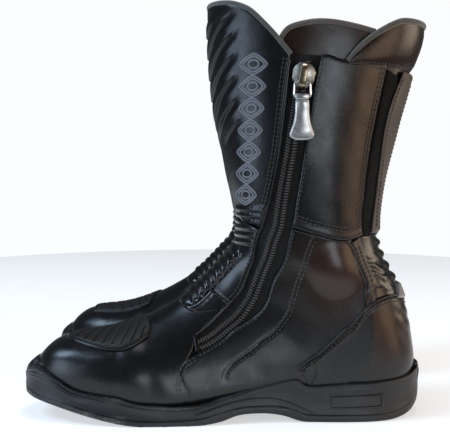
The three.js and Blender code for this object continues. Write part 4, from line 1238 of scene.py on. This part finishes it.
def ring_solid(rings):
    """A closed solid through rings of points."""
    rings = np.asarray(rings)
    count, around = rings.shape[:2]
    faces = []
    for i in range(count - 1):
        for j in range(around):
            k = (j + 1) % around
            faces.append((i * around + j, (i + 1) * around + j, (i + 1) * around + k, i * around + k))
    faces.append(tuple(range(around)))
    faces.append(tuple((count - 1) * around + j for j in range(around))[::-1])
    return rings.reshape(-1, 3), faces


def place_point(x, z):
    """The skin's point on the lateral side at a place on the side view."""
    s, turn = locate(x, z)
    return skin(np.array([s]), np.array([turn]))[0]


def midsole():
    toe = np.linspace(-157.3, -140, 26)
    heel = np.linspace(145.6, 156.5, 20)
    steps = np.concatenate([toe, np.linspace(-139, 145, 230), heel])
    rings = []
    for x in steps:
        _, half, shift, _, low, high, crown = sole_row(x)
        leather_half = abs(place_point(x, high)[1] - shift)
        cup = min(max(leather_half - 1.5, half * 0.3), half * 0.9)
        lip = min(max(leather_half + 0.1, half * 0.5), half - 1.4)
        floor = low + 1.0
        wall = []
        for share in np.linspace(0, 1, 29):
            z = low + 0.2 + (high - low - 1.4) * share
            waist = 0.9 * math.sin(math.pi * share) + 0.5 * math.exp(-((share - 0.93) / 0.05) ** 2)
            low_ridge = 0.7 * math.exp(-((share - 0.70) / 0.035) ** 2)
            ridges = low_ridge + 0.7 * math.exp(-((share - 0.84) / 0.035) ** 2)
            ridges *= 1 - smooth(x, -118, -96)
            wall.append((max(half - waist + ridges, 0.5), z))
        ridge = [(half - 0.3, high - 0.6), (half - 1.1, high), (lip, high + 0.5)]
        section = [(0.01, floor), *wall, *ridge, (cup, high - 1.5), (cup * 0.96, max(floor + 1.2, high - 9)),
                   (0.01, max(floor + 1.2, high - 9) if x > -150 else crown)]
        if x < -139.5:
            section = [(0.01, floor), *wall, *ridge, (half * 0.45, high + (crown - high) * 0.75),
                       (half * 0.2, high + (crown - high) * 0.95), (0.01, crown)]
        half_ring = np.array(section)
        ring = [(x, shift + y, z) for y, z in half_ring] + [(x, shift - y, z) for y, z in half_ring[::-1]]
        rings.append(ring)
    points, faces = ring_solid(rings)
    scuff = np.exp(-((points[:, 0] + 100) / 24) ** 2) * np.clip(1.6 - points[:, 2] / 16, 0, 1)
    # A painted highlight along the sole's top lip, added in the wear mark to a real scuff near the toe.
    lip_highlight = 0.5 * np.exp(-((points[:, 2] - sole_row(points[:, 0])[:, 5]) / 1.1) ** 2)
    build("midsole", points, faces, SOLE_RUBBER, body="foot", slot="sole_rubber", stands_for=["midsole"],
          marks={"wear": np.clip(scuff + lip_highlight, 0, 1)})
    mouldings()


def wall_line(points, pitch=1.2):
    """A line along the sole's medial wall, as points and outward normals."""
    dense = soften(points)
    run = np.concatenate([[0], np.cumsum(np.hypot(*np.diff(dense, axis=0).T))])
    at = np.linspace(0, run[-1], max(int(run[-1] / pitch), 3))
    x, z = np.interp(at, run, dense[:, 0]), np.interp(at, run, dense[:, 1])
    row = sole_row(x)
    slope = np.gradient(row[:, 1], x, edge_order=1) if np.ptp(x) > 1 else 0 * x
    line = np.stack([x, row[:, 2] - row[:, 1] + 0.5, z], -1)
    normals = np.stack([slope * 0, -np.ones_like(x), np.zeros_like(x)], -1)
    return line, normals


def mouldings():
    """Raised lines on the sole's walls: the waist's arch and an empty frame at the heel."""
    pile = Pile()
    for mirror in (1, -1):
        for keys, width in (
            ([(-20.3, 7.8), (9.2, 17.2), (33.7, 19.2), (48.4, 16.3), (62.9, 9.6), (69.7, 6.8)], 1.0),
            ([(82.5, 11), (82.5, 19.5)], 0.7), ([(82.5, 19.5), (102, 20), (122, 20.6)], 0.7),
            ([(122, 20.6), (122, 12)], 0.7), ([(122, 12), (102, 11.4), (82.5, 11)], 0.7),
        ):
            line, normals = wall_line(keys)
            line, normals = line * [1, mirror, 1], normals * [1, mirror, 1]
            pile.add(*sweep_mesh(line, normals, oval(0.75, width, 8)))
    pile.build("sole_mouldings", SOLE_RUBBER, body="foot", slot="sole_rubber")


def outsole():
    edges = [g + side for g in TREAD_GROOVES for side in (-GROOVE_WIDTH / 2, -GROOVE_WIDTH / 2 + 0.3,
                                                           GROOVE_WIDTH / 2 - 0.3, GROOVE_WIDTH / 2)]
    steps = np.unique(np.concatenate([np.linspace(-157.3, 156.5, 230), edges]))
    rings = []
    for x in steps:
        _, half, shift, ground, high, _, _ = sole_row(x)
        half = max(half - 0.2, 0.5)
        depth = 0.0
        for g in TREAD_GROOVES:
            if abs(x - g) < GROOVE_WIDTH / 2 - 0.1:
                depth = GROOVE_DEPTH
        low = max(ground, 0) + depth
        soft = min(1.3, (high - low) * 0.4)
        foot = low - depth
        section = [(0.01, low), (half * 0.32, low), (half * 0.34, low + 1.4), (half * 0.40, low + 1.4),
                   (half * 0.42, low), (half * 0.88, low), (half * 0.89, foot),
                   (max(half - soft, half * 0.9), foot), (half - soft * 0.3, foot + soft * 0.3),
                   (half, foot + soft), (half + 0.15, (foot + high) / 2), (half, high - 0.4),
                   (half - 0.5, high), (0.01, high)]
        ring = [(x, shift + y, z) for y, z in section]
        rings.append(ring + [(x, shift - y, z) for y, z in section[::-1]])
    points, faces = ring_solid(rings)
    scuff = np.exp(-((points[:, 0] + 95) / 30) ** 2)
    build("outsole", points, faces, SOLE_RUBBER, body="foot", slot="sole_rubber", stands_for=["outsole"],
          marks={"wear": np.clip(scuff, 0, 1)})
    heel_strip()


HEEL_STRIP_SECTION = ((-3, -1), (-0.9, -1), (0.1, -0.8), (0.75, -0.3), (0.8, 0), (0.75, 0.3), (0.1, 0.8),
                      (-0.9, 1), (-3, 1))


def heel_strip():
    """The tread's rubber, carried up the back of the heel."""
    rows = []
    for share in np.linspace(0, 1, 16):
        z = 12 + 27 * share
        x = np.interp(z, [10, 17, 26, 33, 40], [151, 154.6, 155.8, 156.8, 155.6])
        width = 13 - 3.5 * share
        rows.append([(x + out, y * width, z) for out, y in HEEL_STRIP_SECTION])
    build("heel_strip", *ring_solid(rows), SOLE_RUBBER, body="foot", slot="sole_rubber")


# ---------------------------------------------------------------- zip slider and its pull

UP = -np.array(JOINTS["right_zip_slide"]["axis"])
HANG_ACROSS = -np.array(JOINTS["right_pull_link_hinge"]["axis"])
OUT = np.cross(HANG_ACROSS, UP)
OUT /= np.linalg.norm(OUT)
ACROSS = np.cross(UP, OUT)
HANG_UP = np.cross(OUT, HANG_ACROSS)
LINK_AT = np.array(JOINTS["right_pull_link_hinge"]["pos_m"]) / MM + [0, HALF_SPACING, 0]
TAB_AT = np.array(JOINTS["right_pull_tab_hinge"]["pos_m"]) / MM + [0, HALF_SPACING, 0]
LINK_RISE = 5.8          # from the skin out to the link's pivot
LINK_BELOW = 4.5         # from the slider's middle down to it
SLIDER_AT = LINK_AT - OUT * LINK_RISE + UP * LINK_BELOW
ON_ZIP = (SLIDER_AT, ACROSS, UP)
ON_LINK = (LINK_AT, HANG_ACROSS, HANG_UP)
ON_TAB = (TAB_AT, HANG_ACROSS, HANG_UP)


def local(points, base):
    """Points given across, out of the boot and upward, in the slider's, the link's or the tab's own axes."""
    points = np.asarray(points, float)
    origin, across, up = base
    return origin + points[..., 0:1] * across + points[..., 1:2] * OUT + points[..., 2:3] * up


def rounded(outline, radius, steps=5):
    """An outline with its corners rounded."""
    outline = np.asarray(outline, float)
    result = []
    for i, corner in enumerate(outline):
        before, after = outline[i - 1] - corner, outline[(i + 1) % len(outline)] - corner
        a = corner + before / np.linalg.norm(before) * min(radius, np.linalg.norm(before) * 0.45)
        b = corner + after / np.linalg.norm(after) * min(radius, np.linalg.norm(after) * 0.45)
        for t in np.linspace(0, 1, steps):
            result.append((1 - t) ** 2 * a + 2 * t * (1 - t) * corner + t * t * b)
    return np.array(result)


def inset(outline, amount):
    before, after = np.roll(outline, 1, 0), np.roll(outline, -1, 0)
    tangent = after - before
    tangent /= np.maximum(np.linalg.norm(tangent, axis=1, keepdims=True), 1e-9)
    area = np.sum(outline[:, 0] * after[:, 1] - after[:, 0] * outline[:, 1])
    normal = np.stack([-tangent[:, 1], tangent[:, 0]], -1) * np.sign(area)
    return outline + normal * amount


def plate(outline, low, high, bevel, base, crown=0.0):
    """A flat piece with rounded edges, between two distances out of the skin."""
    layers = []
    for a in (0, 0.35, 1):
        layers.append((low + bevel * a, bevel * (1 - a) ** 1.5))
    for a in (1, 0.35, 0):
        layers.append((high - bevel * a, bevel * (1 - a) ** 1.5))
    if crown:
        layers += [(high + crown * 0.6, bevel + 1.2), (high + crown, bevel + 2.4)]
    rings = []
    for height, amount in layers:
        ring = inset(outline, amount)
        rings.append(local(np.stack([ring[:, 0], np.full(len(ring), height), ring[:, 1]], -1), base))
    return ring_solid(rings)


def loop_wire(outline, height, radius, base, sides=10):
    line = local(np.stack([outline[:, 0], np.full(len(outline), height), outline[:, 1]], -1), base)
    return sweep_mesh(line, np.broadcast_to(OUT, line.shape), oval(radius, radius, sides), closed=True)


def slider():
    half, side = 9.6, 8.7
    shape = rounded([(-2.6, -half), (2.6, -half), (side - 1.6, -3), (side, 3), (side - 2.6, 7.6), (2.4, half),
                     (-2.4, half), (2.6 - side, 7.6), (-side, 3), (1.6 - side, -3)], 2.4)
    pile = Pile()
    pile.add(*plate(shape, 1.7, 4.0, 0.6, ON_ZIP))
    pile.add(*plate(inset(shape, 1.6), 3.6, 4.5, 0.4, ON_ZIP))
    for hand in (-1, 1):
        flange = rounded([(hand * (side - 1.9), -6), (hand * (side - 0.6), -2), (hand * (side - 0.2), 4),
                          (hand * (side - 1.4), 4), (hand * (side - 2.6), -2)], 0.6)
        pile.add(*plate(flange, 0.4, 2.2, 0.3, ON_ZIP))
    pile.build("zip_slider", NICKEL, body="zip_slider", slot="slider_metal", stands_for=["zip_slider"])
    bridge = Pile()
    arch = []
    for t in np.linspace(0, 1, 26):
        v = -8.8 + 17.6 * t
        rise = 4.2 + 4.25 * (1 - abs(2 * t - 1) ** 5)
        arch.append((0, rise, v))
    line = local(arch, ON_ZIP)
    sides = np.broadcast_to(ACROSS, line.shape)
    turns = np.arange(16) * math.pi / 8
    flat_bar = [(math.copysign(abs(math.cos(a)) ** 0.6, math.cos(a)) * 2.7,
                 math.copysign(abs(math.sin(a)) ** 0.6, math.sin(a)) * 0.85) for a in turns]
    bridge.add(*sweep_mesh(line, sides, flat_bar))
    bridge.build("zip_slider_bridge", DARK_NICKEL, body="zip_slider", slot="slider_metal")


def pull_link():
    top, low, wide = 0.0, -10.4, 6.2
    outline = rounded([(-wide + 0.6, top), (wide - 0.6, top), (wide, low), (-wide, low)], 2.2, 7)
    build("pull_link", *loop_wire(outline, 0.0, 0.82, ON_LINK), BRIGHT_WIRE, body="pull_link",
          slot="wire_metal", stands_for=["pull_link"])


def barrel(half_length, outer, inner, base):
    """A rolled eye around the link's lower bar: a block with a round hole along the bar."""
    count = 28
    turns = np.arange(count) * 2 * math.pi / count
    block = np.stack([np.sign(np.cos(turns)) * np.abs(np.cos(turns)) ** 0.55,
                      np.sign(np.sin(turns)) * np.abs(np.sin(turns)) ** 0.55], -1) * outer
    hole = np.stack([np.cos(turns), np.sin(turns)], -1) * inner
    rings = []
    for u, shape in ((-half_length + 0.5, block), (half_length - 0.5, block), (half_length, block * 0.86),
                     (half_length, hole), (-half_length, hole), (-half_length, block * 0.86)):
        rings.append(local(np.concatenate([np.full((count, 1), u), shape], 1), base))
    points = np.concatenate(rings)
    faces = []
    for r in range(6):
        n = (r + 1) % 6
        for k in range(count):
            m = (k + 1) % count
            faces.append((r * count + k, r * count + m, n * count + m, n * count + k))
    return points, faces


def pull_tab():
    pile = Pile()
    pile.add(*barrel(4.8, 2.2, 1.15, ON_TAB))
    low = -31.4
    half = [(-4.6, -2.0), (-5.0, -3.4), (-5.2, -12), (-6.2, -19), (-8.6, -25.5), (-9.2, -27.6), (-8.0, -29.6),
            (-5.0, low + 0.4)]
    shape = rounded([*half, (0, low), *((-across, up) for across, up in reversed(half))], 1.6, 4)
    pile.add(*plate(shape, -0.95, 0.75, 0.45, ON_TAB))
    rim = inset(shape, 1.25)
    pile.add(*loop_wire(rim, 0.72, 0.38, ON_TAB, 6))
    step = rounded([(-4.6, -2.9), (4.6, -2.9), (4.9, -4.0), (-4.9, -4.0)], 0.4, 3)
    pile.add(*plate(step, 0.6, 1.35, 0.25, ON_TAB))
    for i in range(7):
        a = math.pi * (0.12 + 0.76 * i / 6)
        centre = local(np.array([[-5.6 * math.cos(a), 0.72, -24.2 - 3.2 * math.sin(a)]]), ON_TAB)[0]
        pile.add(*bead(centre, HANG_ACROSS, OUT, 1.15, 1.15, 0.9, 8, 5))
    pile.build("pull_tab", SATIN_TAB, body="pull_tab", slot="tab_metal", stands_for=["pull_tab"])


# ---------------------------------------------------------------- assembly

ANKLE_STITCHES = Pile()
SHAFT_STITCHES = Pile()

vamp()
shift_pad()
instep()
ankle_and_quarter()
lateral_quarter()
heel_counter()
achilles()
reflector()
shin()
zip_tape()
calf()
lateral_shaft()
back_panel()
collar()
bindings()
welts()
gusset()
loop_strip()
flap()
lining()
midsole()
outsole()
slider()
pull_link()
pull_tab()
ANKLE_STITCHES.build("ankle_stitches", THREAD, slot="foot_leather")
SHAFT_STITCHES.build("shaft_stitches", THREAD, body="shaft", slot="shaft_leather")

# The pieces inside the boot keep their own shapes.
INSIDE = {
    "insole_board": BOARD, "shank": SPRING_STEEL, "footbed": FOOTBED_CLOTH, "heel_stiffener": PLASTIC,
    "medial_ankle_guard": PLASTIC, "lateral_ankle_guard": PLASTIC, "shin_guard": PLASTIC,
}
for side, _ in SIDES:
    for node, look in INSIDE.items():
        mesh = frame["nodes"][f"{side}_{node}"].data
        mesh.materials.clear()
        mesh.materials.append(look)

# ---------------------------------------------------------------- floor, light and camera


def plain(name, color, rough):
    look = Look(name, Emission_Strength=0.55)
    look.surface.inputs["Emission Color"].default_value = (0.97, 0.985, 1, 1)
    speckle = look.noise(60, 4)
    shade = look.blend(look.remap(speckle, 0.3, 0.7), color, tuple(c * 0.97 for c in color))
    return look.finish(shade, look.remap(speckle, 0, 1, rough - 0.03, rough + 0.03))


FLOOR_RADIUS = 0.8
FLOOR_MIDDLE = 0.48      # behind the boots, so that it reaches far back and only a little forwards


def round_floor():
    """A pale round floor, wide enough for the shadows."""
    turns = np.linspace(0, 2 * math.pi, 96, endpoint=False)
    points = [(FLOOR_RADIUS * math.cos(a), FLOOR_MIDDLE + FLOOR_RADIUS * math.sin(a), 0) for a in turns]
    mesh = bpy.data.meshes.new("floor")
    mesh.from_pydata(points, [], [tuple(range(len(points)))])
    floor = bpy.data.objects.new("floor", mesh)
    bpy.context.scene.collection.objects.link(floor)
    floor.data.materials.append(plain("floor_look", (0.9, 0.9, 0.9), 0.7))


def area_light(name, at, towards, size, power, color=(1, 1, 1)):
    data = bpy.data.lights.new(name, "AREA")
    data.shape = "RECTANGLE"
    data.size, data.size_y = size
    data.energy = power
    data.color = color
    lamp = bpy.data.objects.new(name, data)
    bpy.context.scene.collection.objects.link(lamp)
    lamp.location = at
    lamp.rotation_euler = (Vector(towards) - Vector(at)).to_track_quat("-Z", "Y").to_euler()


PALE_SKY = (0.97, 0.985, 1, 1)
SKY_SEEN = 1.0           # the surround's brightness as the camera sees it
SKY_GIVEN = 0.09         # and as the boots are lit by it


def studio_world():
    """A pale surround behind the boots, and a dim one for the light that it gives."""
    world = bpy.data.worlds.new("studio")
    bpy.context.scene.world = world
    world.use_nodes = True
    nodes, links = world.node_tree.nodes, world.node_tree.links
    seen = nodes.new("ShaderNodeLightPath").outputs["Is Camera Ray"]
    strength = nodes.new("ShaderNodeMapRange")
    strength.inputs["To Min"].default_value = SKY_GIVEN
    strength.inputs["To Max"].default_value = SKY_SEEN
    links.new(seen, strength.inputs["Value"])
    links.new(strength.outputs[0], nodes["Background"].inputs["Strength"])
    nodes["Background"].inputs["Color"].default_value = PALE_SKY


def lights():
    area_light("window", (-1.2, -0.35, 1.3), (-0.02, 0, 0.10), (0.4, 0.7), 13, (0.56, 0.77, 1))
    area_light("left_box", (-1.2, -0.75, 0.3), (0, 0, 0.17), (0.5, 0.8), 6.5, (0.62, 0.79, 1))
    area_light("front_box", (0.40, -1.45, 0.20), (0.03, 0, 0.17), (0.45, 0.4), 4, (0.84, 0.92, 1))
    area_light("right_box", (1.15, -0.8, 0.3), (0.05, 0, 0.15), (0.7, 0.8), 5, (1, 0.70, 0.48))
    area_light("rear_box", (1.3, 0.05, 0.4), (0.1, 0, 0.15), (0.6, 0.6), 4, (1, 0.80, 0.62))
    area_light("overhead", (0.1, -0.1, 1.7), (0, 0, 0), (0.5, 0.4), 7, (0.92, 0.96, 1))


EYE = (0.0016, -0.705, 0.1905)
EYE_TILT = 86.4          # degrees from straight down
LENS = 64.2


def camera():
    """At the photograph's angle: level with the shafts, looking a little down."""
    data = bpy.data.cameras.new("camera")
    data.sensor_width = 36
    data.lens = LENS
    data.clip_end = 50
    eye = bpy.data.objects.new("camera", data)
    bpy.context.scene.collection.objects.link(eye)
    eye.location = EYE
    eye.rotation_euler = (math.radians(EYE_TILT), 0, 0)
    bpy.context.scene.camera = eye


round_floor()
studio_world()
lights()
camera()
bpy.context.scene.view_settings.view_transform = "Standard"
